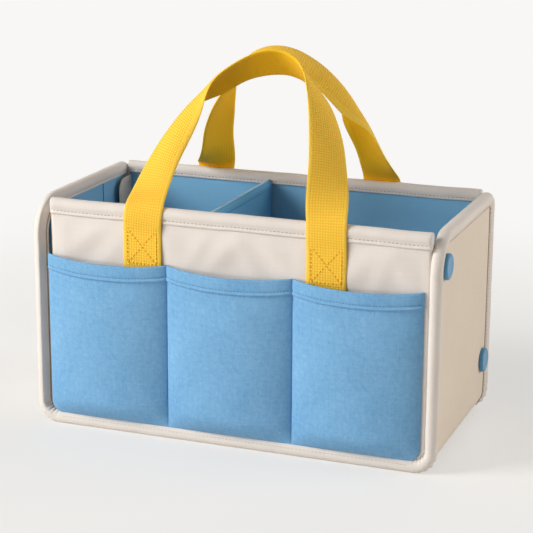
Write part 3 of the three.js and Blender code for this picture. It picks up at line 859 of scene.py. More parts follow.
    def layer(self, name: str, depth: Pair, finish: Finish, inset: float) -> Piece:
        """Makes the cover or the lining.

        Args:
            name: The layer's name.
            depth: Depths of the face that shows and of the one behind it.
            finish: The layer's cloth.
            inset: How far its edge lies inside the strip's.

        Returns:
            The new object.
        """
        half, length, corner = self.half_depth - inset, self.length - inset, self.front_corner - inset
        start, arc = length - corner, np.linspace(0, QUARTER, 18)[1:]
        s = np.concatenate([np.linspace(0, self.flat, 14), np.linspace(self.flat, self.bent, 18)[1:],
                            np.linspace(self.bent, start, 34)[1:], start + corner * np.sin(arc)])[:, None]
        front, back = (self.span(s, radius, inset) for radius in (self.front_corner, self.back_corner))
        y = -front + (front + back) * np.linspace(0, 1, 44)
        low, high = self.crown_ease
        free = smooth(self.bent, self.bent + low, s) * smooth(length, length - high, s)
        lift = free * (1 - (y / half) ** 2)
        swell = (self.crown + ripple(s + 0.4 * y, *self.crown_wave)) * lift
        shown = depth[0] + np.sign(depth[0] - depth[1]) * swell
        return cloth(f"{self.side.tag}_{name}", [self.place(s, y, t) for t in (shown, depth[1])], finish)

    def cord(self, name: str, reach: float, depth: float, radius: float) -> Piece:
        """Makes a thin cord along the binding: its piping, or a dark seam cord that paints a groove's shadow
        line.
        """
        finish = TAPE if name.endswith("piping") else SEAM_SHADOW
        return tube(f"{self.side.tag}_{name}", self.beside(reach, depth), radius, finish)

    def build(self) -> None:
        """Makes the end and its half of the base, wrapped round the fold."""
        side, tag = self.side, self.side.tag
        cover = self.layer("outer_canvas", self.cover_depth, END_CANVAS, self.inset)
        lining = self.layer("inner_lining", self.lining_depth, LINING, self.lining_inset)
        binding = self.binding()
        cords = [self.cord(*sizes) for sizes in self.cords]
        for piece in (cover, lining, binding, *cords):
            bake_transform(piece)
        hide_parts("base_cover", f"{tag}_cover", f"{tag}_corner_fold")
        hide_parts("base_lining", f"{tag}_lining")
        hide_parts("base_binding_front", "base_binding_back", f"{tag}_binding")
        self.sew()

    def sew(self) -> None:
        """Sews the binding round the end's outside and along the base, and the lining's seam."""
        tag = self.side.tag
        line = self.beside(self.seam_reach, self.seam_depth, self.bent + 2.0)
        row = PLAIN_STITCH.sew(f"{tag}_outer_stitches", line, (self.side.value, 0, 0), CREAM_THREAD)
        on_body(row, f"{tag}_end")
        start = self.flat + self.fold * self.lining_seam_start
        s = np.linspace(start, self.length - self.lining_seam_drop, 50)
        near, far = self.lining_seam_ease
        lift = self.crown * smooth(self.length - near, self.length - far, s) * self.lining_seam_lift
        seam = self.place(s, self.lining_seam, self.lining_depth[0] + lift + 0.1)
        on_body(tube(f"{tag}_lining_seam", seam, self.lining_seam_radius, BLUE_THREAD), f"{tag}_end")
        s = np.linspace(0.0, self.flat - 3.0, 60)
        reach, depth = self.base_seam
        for face in Face:
            line = self.place(s, -face.value * (self.half_depth - reach), depth)
            name = f"{tag}_{face.tag}_base_stitches"
            on_body(FINE_STITCH.sew(name, line, (0.0, -face.value, 0.15), CREAM_THREAD), "body")


# The soft walls


@dataclass(frozen=True)
class Crease:
    """A soft fold in a hanging cloth: where it lies, how it runs and how high it stands."""

    x: float
    z: float
    slant: float
    reach: float
    width: float
    height: float

    def rise(self, x: Array, z: Array) -> Array:
        """How far the cloth stands out at points of the wall."""
        turned = (x - self.x + 1j * (z - self.z)) * np.exp(-1j * math.radians(self.slant))
        return self.height * bump(turned.real, self.reach) * bump(turned.imag, self.width)


@dataclass
class Wall:
    """A soft wall: canvas outside, padding, lining inside, a folded hem and two flaps."""

    face: Face
    half: float = 147.1
    low: float = 8.7
    high: float = 175.0
    corner: float = 9.0
    canvas_out: float = 75.0
    canvas_thick: float = 1.2
    padding_out: float = 73.5
    padding_thick: float = 2.0
    padding_drop: float = 2.0
    lining_out: float = 71.2
    lining_thick: float = 1.2
    hem_out: float = 76.5
    hem_in: float = 68.5
    hem_top: float = 176.5
    hem_drop: float = 164.5
    hem_inner_drop: float = 167.5
    hem_wall: float = 1.2
    hem_sway: Triple = (0.25, 83.0, 0.4)
    hem_puff: Triple = (0.16, 29.0, 1.7)
    edge_ease: float = 3.0
    edge_ease_span: Pair = (116.0, 130.0)
    right_reach: float = 2.9
    wrap: float = 2.6
    wrap_back: float = 70.1
    side_inset: float = 1.7
    held_low: float = 25.0
    held_top: Pair = (6.0, 22.0)
    held_side: float = 12.0
    flap_out: float = 146.6
    flap_thick: float = 1.2
    flap_reach: Pair = (69.7, 47.7)
    flap_height: Pair = (17.3, 165.0)
    flap_corner: float = 10.0
    flap_bow: Triple = (0.5, 90.0, 0.5)
    creases: tuple[Crease, ...] = (
        Crease(-118, 146, 38, 36, 9, 1.5), Crease(-92, 143, 50, 26, 8, 1.2),
        Crease(-136, 150, 70, 26, 8, 0.9), Crease(-46, 148, 120, 26, 9, 1.1),
        Crease(-27, 144, 60, 24, 7, 1.0), Crease(-6, 147, 48, 30, 8, 1.4),
        Crease(14, 145, 118, 24, 7, 1.0), Crease(38, 145, 134, 28, 8, 1.3),
        Crease(56, 150, 95, 22, 7, 0.8), Crease(96, 144, 42, 30, 9, 1.4),
        Crease(116, 147, 70, 24, 7, 1.0), Crease(132, 146, 118, 26, 8, 1.1),
        Crease(-10, 139, -3, 40, 9, -1.25), Crease(-112, 138, 0, 30, 9, -0.6),
        Crease(-60, 90, 20, 50, 14, 0.7), Crease(50, 60, 160, 60, 16, 0.7))

    def edge_at(self, z: Array | float) -> tuple[Array, Array]:
        """The wall's left and right edges at heights."""
        reach = self.half - trim(z, self.low, self.corner)
        return -reach + self.edge_ease * smooth(*self.edge_ease_span, z), reach + self.right_reach

    def panel(self, name: str, out: float, thick: float, soft: float, finish: Finish, top: float = 0.0,
              inset: float = 0.0) -> Piece:
        """Makes one full layer of the wall.

        Args:
            name: The piece's name.
            out: How far its outer face stands from the middle of the caddy.
            thick: Its thickness.
            soft: How much of the wall's creases it shows.
            finish: Its cloth.
            top: How far it ends below the wall's top.
            inset: How far it ends inside the wall's side edges, or 0 where it turns round them.

        Returns:
            The new object.
        """
        bottom = self.low + self.corner * (1 - np.cos(np.linspace(0, QUARTER, 7)))
        z = np.concatenate([bottom, np.linspace(self.low + self.corner, self.high - top, 72)[1:]])[:, None]
        left, right = self.edge_at(z)
        ease = inset or self.wrap
        x = left + ease + (right - left - 2 * ease) * np.linspace(0, 1, 130)
        near, far = self.held_top
        held = smooth(self.low, self.low + self.held_low, z) * smooth(self.high - near, self.high - far, z)
        held = held * smooth(0, self.held_side, x - left) * smooth(0, self.held_side, right - x)
        rise = soft * held * sum(crease.rise(x, z) for crease in self.creases)
        faces = []
        for depth in (0.0, thick):
            face = grid(x, depth - out - rise, z)
            if not inset:
                first, last = (self.turned_edge(edge, sign, depth, z)
                               for edge, sign in ((left, -1), (right, 1)))
                face = np.concatenate([first[:, ::-1], face, last], axis=1)
            faces.append(face)
        return cloth(name, self.face.turn(faces), finish)

    def turned_edge(self, edge: Array, sign: int, depth: float, z: Array) -> Array:
        """Turns the canvas round a side edge of the wall, towards the flap.

        Args:
            edge: The edge's place at each height.
            sign: The edge's side along X.
            depth: How far inside the outer face the points lie.
            z: The heights, as a column.

        Returns:
            Points from the flat canvas to the edge's inner end.
        """
        turn = np.linspace(0, QUARTER, 7)[1:]
        radius, start = self.wrap - depth, -self.canvas_out + self.wrap
        x = np.concatenate([self.wrap - radius * np.sin(turn), np.full(4, depth)])
        y = np.concatenate([start - radius * np.cos(turn), np.linspace(start, -self.wrap_back, 5)[1:]])
        return grid(edge - sign * x, y, z)

    def hem_section(self, x: Array) -> list[Array]:
        """Draws the hem's section.

        Args:
            x: Stations along the wall, as a column.

        Returns:
            Its outer and its inner line at each station.
        """
        front, back, top, wall = -self.hem_out, -self.hem_in, self.hem_top, self.hem_wall
        low, inner_low, middle = self.hem_drop, self.hem_inner_drop, (front + back) / 2
        outer = [(front + 0.9, low), (front - 0.1, low + 1.2), (front + 0.45, low + 3.2),
                 (front - 0.45, low + 6.5), (front - 0.2, top - 2.6), (front + 1.6, top - 0.4),
                 (middle, top + 0.1), (back - 1.4, top - 0.5), (back + 0.1, top - 2.8),
                 (back + 0.35, inner_low + 4.0), (back - 0.05, inner_low + 2.2),
                 (back + 0.1, inner_low + 0.8), (back - 0.4, inner_low)]
        inner = [(front + wall, low + 0.4), (front + wall, top - 3.4), (front + 2.6, top - wall - 0.4),
                 (back - 2.6, top - wall - 0.4), (back - wall, top - 3.4), (back - wall, inner_low + 0.4)]
        made = []
        for knots in (outer, inner):
            y, z = spline(knots, 40).T
            z = z + ripple(x, *self.hem_sway)
            if knots is outer:
                y = y + ripple(x, *self.hem_puff) * np.sign(y - middle) * smooth(low, low + 3, z)
            made.append(grid(x, y, z))
        return made

    def hem(self) -> Piece:
        """Makes the hem that is folded over the wall's top, drawn together at its ends.

        Returns:
            The new object.
        """
        left, right = self.edge_at(self.high)
        past, draw = np.array([0.45, 0.8, 1.0, 1.05]), np.array([0.93, 0.78, 0.5, 0.04])
        stations = np.linspace(left + 0.8, right - 0.8, 140)
        x = np.concatenate([stations[0] - past[::-1], stations, stations[-1] + past])[:, None]
        full = np.concatenate([draw[::-1], np.ones(140), draw])[:, None]
        middle = -(self.hem_out + self.hem_in) / 2
        faces = self.hem_section(x)
        for line in faces:
            line[..., 1] = middle + (line[..., 1] - middle) * full
            line[..., 2] -= (1 - full) * 1.2 * smooth(self.high - 8, self.hem_top, line[..., 2])
        return cloth(f"{self.face.tag}_folded_hem", self.face.turn(faces), CANVAS, ease=False)

    def hem_stitches(self, word: str, sign: float, y: float, z: float) -> Piece:
        """Sews the hem down.

        Args:
            word: Which row it is.
            sign: The row's outward sign along Y.
            y: Its place.
            z: Its height.

        Returns:
            The new object.
        """
        left, right = self.edge_at(self.high)
        x = np.linspace(left + 2, right - 2, 140)
        line = self.face.turn(grid(x, y, z + ripple(x, *self.hem_sway)))
        name = f"{self.face.tag}_hem_{word}_stitches"
        return PLAIN_STITCH.sew(name, line, self.face.turn((0.0, sign, 0.0)), HEM_THREAD)

    def flap(self, end: float, side: Side) -> Piece:
        """Makes the flap that lies on an end panel.

        Args:
            end: The sign of the wall's own X where the flap is.
            side: The end that it lies on.

        Returns:
            The new object.
        """
        (near, far), (low, high), radius = self.flap_reach, self.flap_height, self.flap_corner
        arc = np.linspace(0, QUARTER, 10)[1:]
        z = np.concatenate([np.linspace(low, high - radius, 24), high - radius * (1 - np.sin(arc))])[:, None]
        cut = np.concatenate([np.zeros(24), radius * (1 - np.cos(arc))])[:, None]
        reach = near - (near - far - cut) * np.linspace(0, 1, 14)
        out = self.flap_out - np.abs(ripple(z, *self.flap_bow) * smooth(near, far, reach))
        faces = [grid(end * (out - depth), -reach, z) for depth in (0.0, self.flap_thick)]
        return cloth(f"{self.face.tag}_{side.tag}_flap_cloth", self.face.turn(faces), END_CANVAS)

    def build(self) -> None:
        """Makes the wall's layers, hem, stitches and flaps."""
        tag = self.face.tag
        canvas = self.panel(f"{tag}_wall_canvas", self.canvas_out, self.canvas_thick, 1.0, CANVAS)
        padding = self.panel(f"{tag}_wall_padding", self.padding_out, self.padding_thick, 0.0, FELT,
                             self.padding_drop, self.side_inset)
        lining = self.panel(f"{tag}_wall_lining", self.lining_out, self.lining_thick, 0.2, LINING,
                            inset=self.side_inset)
        hem = self.hem()
        for piece, word in ((canvas, "canvas"), (padding, "padding"), (lining, "lining"), (hem, "hem")):
            on_body(piece, "body", f"{tag}_{word}")
        for row in (("outer", -1.0, -self.hem_out + 0.4, self.hem_drop + 3.2),
                    ("inner", 1.0, -self.hem_in - 0.02, self.hem_inner_drop + 2.2)):
            on_body(self.hem_stitches(*row), "body")
        flat = (2 * self.half * MM, (self.high - self.low) * MM)
        turned = 2 * (self.canvas_out - self.wrap_back)
        flat[0] + turned * MM
        for end in (1.0, -1.0):
            side = Side(int(end * self.face.value))
            flap = on_body(self.flap(end, side), "body", f"{tag}_{side.tag}_flap")


# Pockets


@dataclass
class Pocket:
    """One of the pockets in the row on the front wall, by its order from the left."""

    order: int
    half: float = 147.1
    low: float = 8.7
    tall: float = 125.0
    sag: float = 2.5
    seat: float = 75.3
    bulge: float = 12.2
    rise: float = 17.0
    flatness: float = 2.6
    rounding: float = 0.55
    roundness: float = 0.75
    arch_power: float = 0.85
    swell_power: float = 0.8
    strips: Pair = (1.0, 1.4)
    cloth_thick: float = 1.5
    hem: float = 11.0
    hem_fold: float = 0.8
    hem_row_drop: float = 3.0
    hem_step: Pair = (0.6, 0.8)
    hem_puff: Pair = (0.25, 4.0)
    lip: Triple = (0.85, 1.2, 1.0)
    groove: Pair = (0.45, 0.9)
    corner: float = 9.0
    seam_gap: float = 0.3
    mouth: float = 0.75
    mouth_from: float = 0.55
    uneven_from: float = 0.15
    spare: float = 1.08
    slope_wave: Triple = (0.35, 71.0, 0.5)
    fall_wave: Triple = (0.3, 53.0, 2.0)
    names: tuple[str, ...] = ("left", "centre", "right")

    @property
    def width(self) -> float:
        """A pocket's width."""
        return 2 * self.half / len(self.names)

    def height(self, u: Array) -> Array:
        """The height of the sagging top edge over the bottom, at places across a pocket."""
        return self.tall - self.sag * (1 - u**2)

    def sides(self, z: Array) -> tuple[Array, Array]:
        """Finds the pocket's side edges: its seams, or the wall's edges with their rounded corners.

        Args:
            z: Heights.

        Returns:
            The left and the right edge at those heights.
        """
        left = -self.half + self.order * self.width
        right, gap, cut = left + self.width, self.seam_gap / 2, trim(z, self.low, self.corner)
        left = left + (gap if self.order else self.strips[0] + cut)
        return left, right - (gap if self.order < len(self.names) - 1 else self.strips[1] + cut)

    def surface(self, u: Array, share: Array) -> tuple[Array, Array]:
        """Finds points of the pocket.

        Args:
            u: Places across it, from -1 to 1.
            share: Heights, from 0 at the bottom to 1 at the top edge.

        Returns:
            Points of its outer face and of its inner one.
        """
        up, down = self.height(u) * share, self.height(u) * (1 - share)
        z = self.low + up
        left, right = self.sides(z)
        x = left + (right - left) * (u + 1) / 2
        full = np.maximum(1 - np.abs(u) ** self.flatness, 0) ** self.rounding
        across = full + (np.maximum(1 - u**2, 0) ** self.arch_power - full) * self.roundness
        swell = np.sin(QUARTER * np.clip(up / self.rise, 0, 1)) ** self.swell_power
        slack = 1 - (1 - self.mouth) * smooth(self.mouth_from, 1.0, share)
        uneven = 0.0
        for (height, wave, seed), run in ((self.slope_wave, x + 0.6 * z), (self.fall_wave, z - 0.5 * x)):
            uneven = uneven + ripple(run, height, wave, seed + self.order)
        out = across * (self.bulge * swell * slack + uneven * smooth(0.0, self.uneven_from, share))
        below, above = self.hem_step
        ridge = smooth(self.hem + below, self.hem - above, down)
        high, drop, wide = self.lip
        deep, narrow = self.groove
        lip = high * bump(down - self.hem + drop, wide)
        lip = lip - deep * bump(down - self.hem + self.hem_row_drop, narrow)
        puff, span = self.hem_puff
        fold = (self.hem_fold + puff * smooth(0, span, down)) * ridge + lip
        y = -self.seat - out
        return grid(x, y - self.cloth_thick - fold, z), grid(x, y, z)

    def bag(self) -> Piece:
        """Makes the pocket.

        Returns:
            The new object.
        """
        u = -0.55 * np.cos(np.linspace(0, math.pi, 64)) + 0.45 * np.linspace(-1, 1, 64)
        fine = 1 - np.linspace(self.hem + 3.0, 0.0, 34) / self.tall
        share = 1 - np.cos(np.linspace(0, QUARTER, 44)[:-12])
        share = np.concatenate([share / share[-1] * (fine[0] - 0.012), fine])
        faces = self.surface(*np.meshgrid(u, share))
        return cloth(f"{self.names[self.order]}_pocket", faces, BRUSHED)

    def hem_row(self) -> Piece:
        """Sews the pocket's hem.

        Returns:
            The new object.
        """
        u = np.linspace(-0.965, 0.965, 80)
        line, _ = self.surface(u, 1 - (self.hem - self.hem_row_drop) / self.height(u))
        normal = np.cross(np.gradient(line, axis=0), np.array([0.0, 0.0, 1.0]))
        return POCKET_STITCH.sew(f"{self.names[self.order]}_pocket_stitches", line, normal, BLUE_THREAD)

    def build(self) -> None:
        """Makes the pocket with its hem's stitches."""
        made = on_body(self.bag(), "body", f"pocket_{self.names[self.order]}")
        row = on_body(self.hem_row(), "body")
        flat = (self.width * self.spare * MM, (self.tall + self.hem) * MM)


# Handles


@dataclass(frozen=True)
class Leg:
    """How one leg of a loop leaves its wall, comes to the crown, turns on the way and cups across its width.

    The turns are shares of a quarter turn, each at its own share of the leg's length. The lean is in
    degrees. The slant is how far the leg goes sideways from its box of stitches to the wall's top.
    """

    rise: Triple
    pull: Triple
    turns: tuple[float, ...]
    lean: float
    cup: float
    slant: float = 0.0
    turn_at: tuple[float, ...] = (0.0, 0.22, 0.42, 0.56, 0.7, 0.84, 1.0)

    def across(self, share: Array, inward: float) -> Array:
        """Turns the webbing on its way.

        Args:
            share: Shares of the leg.
            inward: The sign of X towards the crown.

        Returns:
            The direction across the webbing at each share.
        """
        table = spline([*zip(self.turn_at, (0.0, *self.turns, 1.0))], 90)
        turn = np.interp(share, table[:, 0], table[:, 1])[:, None] * QUARTER
        lean = math.radians(self.lean)
        tilted = np.array([0.0, -math.cos(lean), math.sin(lean)])
        return np.cos(turn) * np.array([inward, 0.0, 0.0]) + np.sin(turn) * tilted

    def cupping(self, share: Array) -> Array:
        """How far the webbing's middle stands out of its edges at shares of the leg."""
        return self.cup * np.sin(math.pi * share) ** 2


@dataclass
class Handle:
    """A webbing handle: two sewn legs and one twisted loop, in one length."""

    face: Face
    middle: float
    crown: Triple
    left: Leg
    right: Leg
    spacing: float = 141.07
    width: float = 30.0
    thick: float = 2.2
    strap: float = 77.9
    low_strap: float = 76.4
    tail: float = 122.0
    step: Pair = (161.2, 164.2)
    rim: float = 179.6
    fold: Pair = (168.0, 176.5)
    box: Pair = (134.0, 160.0)
    box_half: float = 11.6
    spread: Pair = (2.6, 3.8)
    spread_span: Pair = (6.0, 12.0)
    sample: float = 1.5
    edge_round: Pair = (14.0, 0.7)
    selvedge: Triple = (0.1, 0.93, 0.05)
    middle_thick: float = 0.94

    def legs(self) -> Pair:
        """The middles of the left and right legs, on the front wall's own X."""
        return self.middle - self.spacing / 2, self.middle + self.spacing / 2

    def half(self, foot: float, inward: float, leg: Leg) -> tuple[Array, Array, Array]:
        """Follows one leg from its tail to the crown.

        Args:
            foot: The leg's place along the wall.
            inward: The sign of X towards the crown.
            leg: The way that it takes.

        Returns:
            Points of the middle line, and the direction across the webbing and its cupping at each.
        """
        sewn = [(self.low_strap, self.tail), (self.low_strap, self.step[0]), (self.strap, self.step[1]),
                (self.strap, self.rim)]
        low = np.array([(foot, -y, z) for y, z in sewn])
        low[:, 0] += inward * leg.slant * np.clip((low[:, 2] - self.box[1]) / (self.rim - self.box[1]), 0, 1)
        crown = np.array(self.crown)
        t = np.linspace(0, 1, 400)[:, None]
        arch = (low[-1] * (1 - t)**3 + (low[-1] + leg.rise) * 3 * t * (1 - t)**2
                + (crown + leg.pull) * 3 * t**2 * (1 - t) + crown * t**3)
        path = np.vstack([low[:-1], arch])
        run = run_of(path)
        free = run[len(low) - 1]
        even = np.linspace(0, run[-1], int(run[-1] / self.sample))
        share = np.clip((even - free) / (run[-1] - free), 0, 1)
        return sampled(path, run, even), leg.across(share, inward), leg.cupping(share)

    def centre(self) -> tuple[Array, Array, Array, Array]:
        """Follows the whole webbing.

        Returns:
            Its middle line, the directions across and through it, and its cupping.
        """
        left, right = self.legs()
        halves = zip(self.half(left, 1.0, self.left), self.half(right, -1.0, self.right))
        line, across, cup = (np.concatenate([a, b[-2::-1]]) for a, b in halves)
        low, high = self.spread_span
        free = np.clip((line[:, 2:] - self.box[1] - low) / (high - low), 0, 1)
        tight, wide = (rounded(line, spread) for spread in self.spread)
        line = tight * (1 - free) + wide * free
        along = unit(np.gradient(line, axis=0))
        across = unit(across - along * np.sum(across * along, -1, keepdims=True))
        return line, across, np.cross(along, across), cup

    def webbing(self) -> Piece:
        """Makes the webbing with its thicker woven edges.

        Returns:
            The new object.
        """
        line, across, under, cup = self.centre()
        even = np.linspace(-1, 1, 25)
        a = np.sin(even * QUARTER) * 0.7 + even * 0.3
        power, drawn = self.edge_round
        high, at, wide = self.selvedge
        half = self.thick / 2 * (1 - np.abs(a) ** power * drawn)
        half = half * (self.middle_thick + high * bump(np.abs(a) - at, wide))
        bow = cup[:, None] * (a**2 - 0.4)
        line, across, under = line[:, None], across[:, None], under[:, None]
        spread = line + across * (a * self.width / 2)[:, None] + under * bow[..., None]
        rise = under * half[:, None]
        faces = self.face.turn([spread - rise, spread + rise])
        return cloth(f"{self.face.tag}_webbing", faces, STRAP, ease=False)

    def box_rows(self, leg: float, name: str) -> Piece:
        """Sews the box and cross that hold a leg.

        Args:
            leg: The leg's place along the wall.
            name: The piece's name.

        Returns:
            The new object.
        """
        low, high = self.box
        left, right = leg - self.box_half, leg + self.box_half
        turns = [(left, high), (right, high), (right, low), (left, low),
                 (left, high), (right, low), (right, high), (left, low)]
        x, z = np.vstack([np.linspace(a, b, 30) for a, b in zip(turns, turns[1:])]).T
        line = self.face.turn(grid(x, -self.low_strap - self.thick / 2, z))
        return BOX_STITCH.sew(name, line, self.face.turn((0.0, -1.0, 0.0)), YELLOW_THREAD)

    def build(self) -> None:
        """Makes the handle, which folds over at the wall's top, and its sewing."""
        tag = self.face.tag
        piece = self.webbing()
        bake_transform(piece)
        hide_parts(f"{tag}_handle", f"{tag}_left_anchor", f"{tag}_right_anchor")
        length = np.linalg.norm(np.diff(self.centre()[0], axis=0), axis=1).sum()
        for leg, word in zip(self.legs(), ("first", "second")):
            on_body(self.box_rows(leg, f"{tag}_{word}_box_stitches"), "body")


FRONT_HANDLE = Handle(
    Face.FRONT, 2.7, (15.6, -17.9, 279.9),
    Leg((-5.4, 29.8, 5.0), (-72.2, -14.6, -6.0), (0.198, 0.34, 0.493, 0.751, 0.776), 44.7, 6.9, 2.6),
    Leg((-1.8, 7.1, 30.1), (44.7, 5.8, -3.8), (0.398, 0.53, 0.641, 0.76, 0.923), 44.7, 2.0),
    spacing=142.6)
BACK_HANDLE = Handle(
    Face.BACK, 3.0, (-1.7, -6.1, 280.1),
    Leg((-1.9, 29.3, 13.1), (-65.0, -6.1, -1.4), (0.243, 0.349, 0.762, 0.888, 0.874), 22.9, 8.5),
    Leg((-16.4, 33.4, 11.8), (49.4, 5.9, 0.2), (0.545, 0.659, 0.793, 0.955, 1.0), 22.9, 1.35),
    rim=178.2)


# Divider


@dataclass
class Divider:
    """The lift-out divider: a cloth sleeve over a board, with sewn flanges that grip the walls."""

    x: float = -24.0
    half_thick: float = 2.7
    wall: float = 1.2
    reach: float = 67.9
    low: float = 7.2
    high: float = 171.0
    hem: float = 6.0
    bow: Triple = (0.15, 120.0, 0.3)
    bow_span: Pair = (40.0, 160.0)
    cord_radius: float = 0.95
    cord_drop: float = 0.35
    tab_out: float = -27.35
    tab_reach: float = 12.0
    tab_seam: float = 14.0
    tab_top: float = 161.0
    tab_thick: float = 1.2

    def sleeve(self) -> Piece:
        """Makes the folded sleeve.

        Returns:
            The new object.
        """
        h, g, top = self.half_thick, self.half_thick - self.wall, self.high
        outer = [(-h, self.low), (-h - 0.25, 60.0), (-h - 0.25, 120.0), (-h + 0.15, top - self.hem),
                 (-h - 0.1, top - self.hem + 2.5), (-h + 0.6, top - 1.1), (0.0, top)]
        inner = [(-g, self.low), (-g, 60.0), (-g, 120.0), (-g, top - h), (0.0, top - h + 0.6)]
        y = np.linspace(-self.reach, self.reach, 60)[:, None]
        faces = []
        for knots in (outer, inner):
            x, z = spline([*knots, *((-a, b) for a, b in knots[-2::-1])], 110).T
            faces.append(grid(self.x + x + ripple(y, *self.bow) * smooth(*self.bow_span, z), y, z))
        return cloth("divider_sleeve", faces, DIVIDER, ease=False)

    def tab(self, end: float, name: str) -> Piece:
        """Makes a flange: sewn along the sleeve, then bent to lie on a wall.

        Args:
            end: The wall's sign along Y.
            name: The piece's name.

        Returns:
            The new object.
        """
        t, bend, reach = self.tab_thick, self.tab_out, self.reach
        seam, far = reach - self.tab_seam, bend - self.tab_reach - t
        outer = [(bend, seam), (bend, reach - 5), (bend - 0.4, reach - 2.2), (bend - 3.0, reach - t),
                 (far, reach - t)]
        inner = [(bend + t, seam), (bend + t, reach - 4), (bend + t * 0.5, reach - 1.0), (bend - 2.6, reach),
                 (far, reach)]
        z = np.linspace(self.low + 0.3, self.tab_top, 30)[:, None]
        lines = [spline(knots, 24).T for knots in (outer, inner)]
        return cloth(name, [grid(x, end * y, z) for x, y in lines], DIVIDER)

    def rows(self) -> list[Piece]:
        """Sews the sleeve under its fold, on both faces, and rounds its top with a cord in a lighter blue, a
        painted highlight on the fold.

        Returns:
            The two rows of stitches and the cord.
        """
        made = []
        y = np.linspace(-self.reach + 2, self.reach - 2, 60)
        for sign, word in ((1.0, "right"), (-1.0, "left")):
            x = self.x + sign * (self.half_thick - 0.12) + ripple(y, *self.bow)
            line = grid(x, y, self.high - self.hem)
            made.append(PLAIN_STITCH.sew(f"divider_{word}_stitches", line, (sign, 0.0, 0.0), BLUE_THREAD))
        y = np.linspace(-self.reach + 0.3, self.reach - 0.3, 60)
        line = grid(self.x + ripple(y, *self.bow), y, self.high - self.cord_drop)
        return [*made, tube("divider_top_cord", line, self.cord_radius, FOLD_HIGHLIGHT)]

    def build(self) -> None:
        """Makes the sleeve, the flanges, the stitches and the cord."""
        sleeve = on_body(self.sleeve(), "divider", "divider_cover")
        for end, word in ((-1.0, "front"), (1.0, "back")):
            tab = on_body(self.tab(end, f"divider_{word}_flange"), "divider", f"divider_{word}_tab")
        for row in self.rows():
            on_body(row, "divider")


# Snaps


@dataclass
class Snaps:
    """The snaps of both ends, turned as round mouldings from radii and heights along their axes."""

    half_width: float = 157.5
    steps: int = 48
    cap: Knots = (
        (0.0, 1.95), (3.0, 1.98), (5.6, 2.08), (7.0, 2.3), (7.9, 2.34), (8.7, 2.1), (9.25, 1.55), (9.5, 0.8),
        (9.5, -0.5), (9.35, -0.95), (9.0, -1.2), (6.0, -1.2), (2.0, -1.2), (2.0, -7.7), (0.0, -7.7))
    socket: Knots = (
        (0.0, -8.2), (2.0, -8.2), (2.3, -8.9), (5.6, -8.9), (6.3, -8.7), (6.5, -8.2), (6.5, -7.6),
        (6.2, -7.25), (2.3, -7.2), (2.0, -7.9), (0.0, -7.9))
    stud: Knots = (
        (0.0, -8.6), (1.0, -8.6), (1.4, -9.0), (1.5, -9.2), (5.6, -9.2), (6.0, -9.5), (6.0, -10.1),
        (5.6, -10.4), (0.0, -10.4))
    inner_cap: Knots = (
        (0.0, -14.0), (4.0, -14.15), (6.2, -13.95), (7.1, -13.5), (7.5, -12.9), (7.4, -12.4), (7.0, -12.2),
        (1.3, -12.2), (1.3, -10.6), (0.0, -10.6))

    def turned(self, name: str, node: str, outline: Knots, side: Side) -> Piece:
        """Turns an outline into a moulding in a CAD node's place.

        Args:
            name: The piece's name.
            node: The node that it stands for.
            outline: Radii and heights along the snap's axis, which it starts and ends on.
            side: The end that it is on.

        Returns:
            The new object.
        """
        low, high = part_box(node)
        centre = (low + high) / 2 / MM
        radius, height = np.array(outline).T[..., None]
        turns = np.linspace(0, 2 * math.pi, self.steps, endpoint=False)
        x, y, z = side.value * (self.half_width + height), radius * np.cos(turns), radius * np.sin(turns)
        first, *middle, last = grid(x, centre.y + y, centre.z + z)
        points = np.vstack([first[:1], *middle, last[:1]])
        index = 1 + np.arange(len(points) - 2).reshape(-1, self.steps)
        ends = ((0, index[0, ::-1]), (len(points) - 1, index[-1]))
        faces = rings(index).tolist()
        for tip, ring in ends:
            faces += [[tip, int(a), int(b)] for a, b in zip(ring, np.roll(ring, -1))]
        if side is Side.LEFT:
            faces = [face[::-1] for face in faces]
        return make(name, points, faces, np.zeros_like(points), SNAP, 40.0)

    def build(self) -> None:
        """Makes every part of every snap."""
        outlines = {"cap": self.cap, "socket": self.socket, "stud": self.stud, "inner_cap": self.inner_cap}
        for side in Side:
            for place in ("top", "low"):
                for part, outline in outlines.items():
                    node = f"{side.tag}_{place}_snap_{part}"
                    piece = self.turned(f"{side.tag}_{place}_moulded_{part}", node, outline, side)
                    on_body(piece, frame["nodes"][node]["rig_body"], node)


# Studio


@dataclass(frozen=True)
class Lamp:
    """A square soft lamp that faces the caddy: its place and side in metres, its watts and its colour."""

    name: str
    spot: Triple
    size: float
    power: float
    colour: str

    def hang(self) -> None:
        """Hangs the lamp."""
        data = bpy.data.lights.new(self.name, "AREA")
        data.size = self.size
        data.energy = self.power
        data.color = tint(self.colour)[:3]
        made = linked(self.name, data)
        made.location = self.spot
        made.rotation_euler = (Vector((0, 0, 0.1)) - Vector(self.spot)).to_track_quat("-Z", "Y").to_euler()


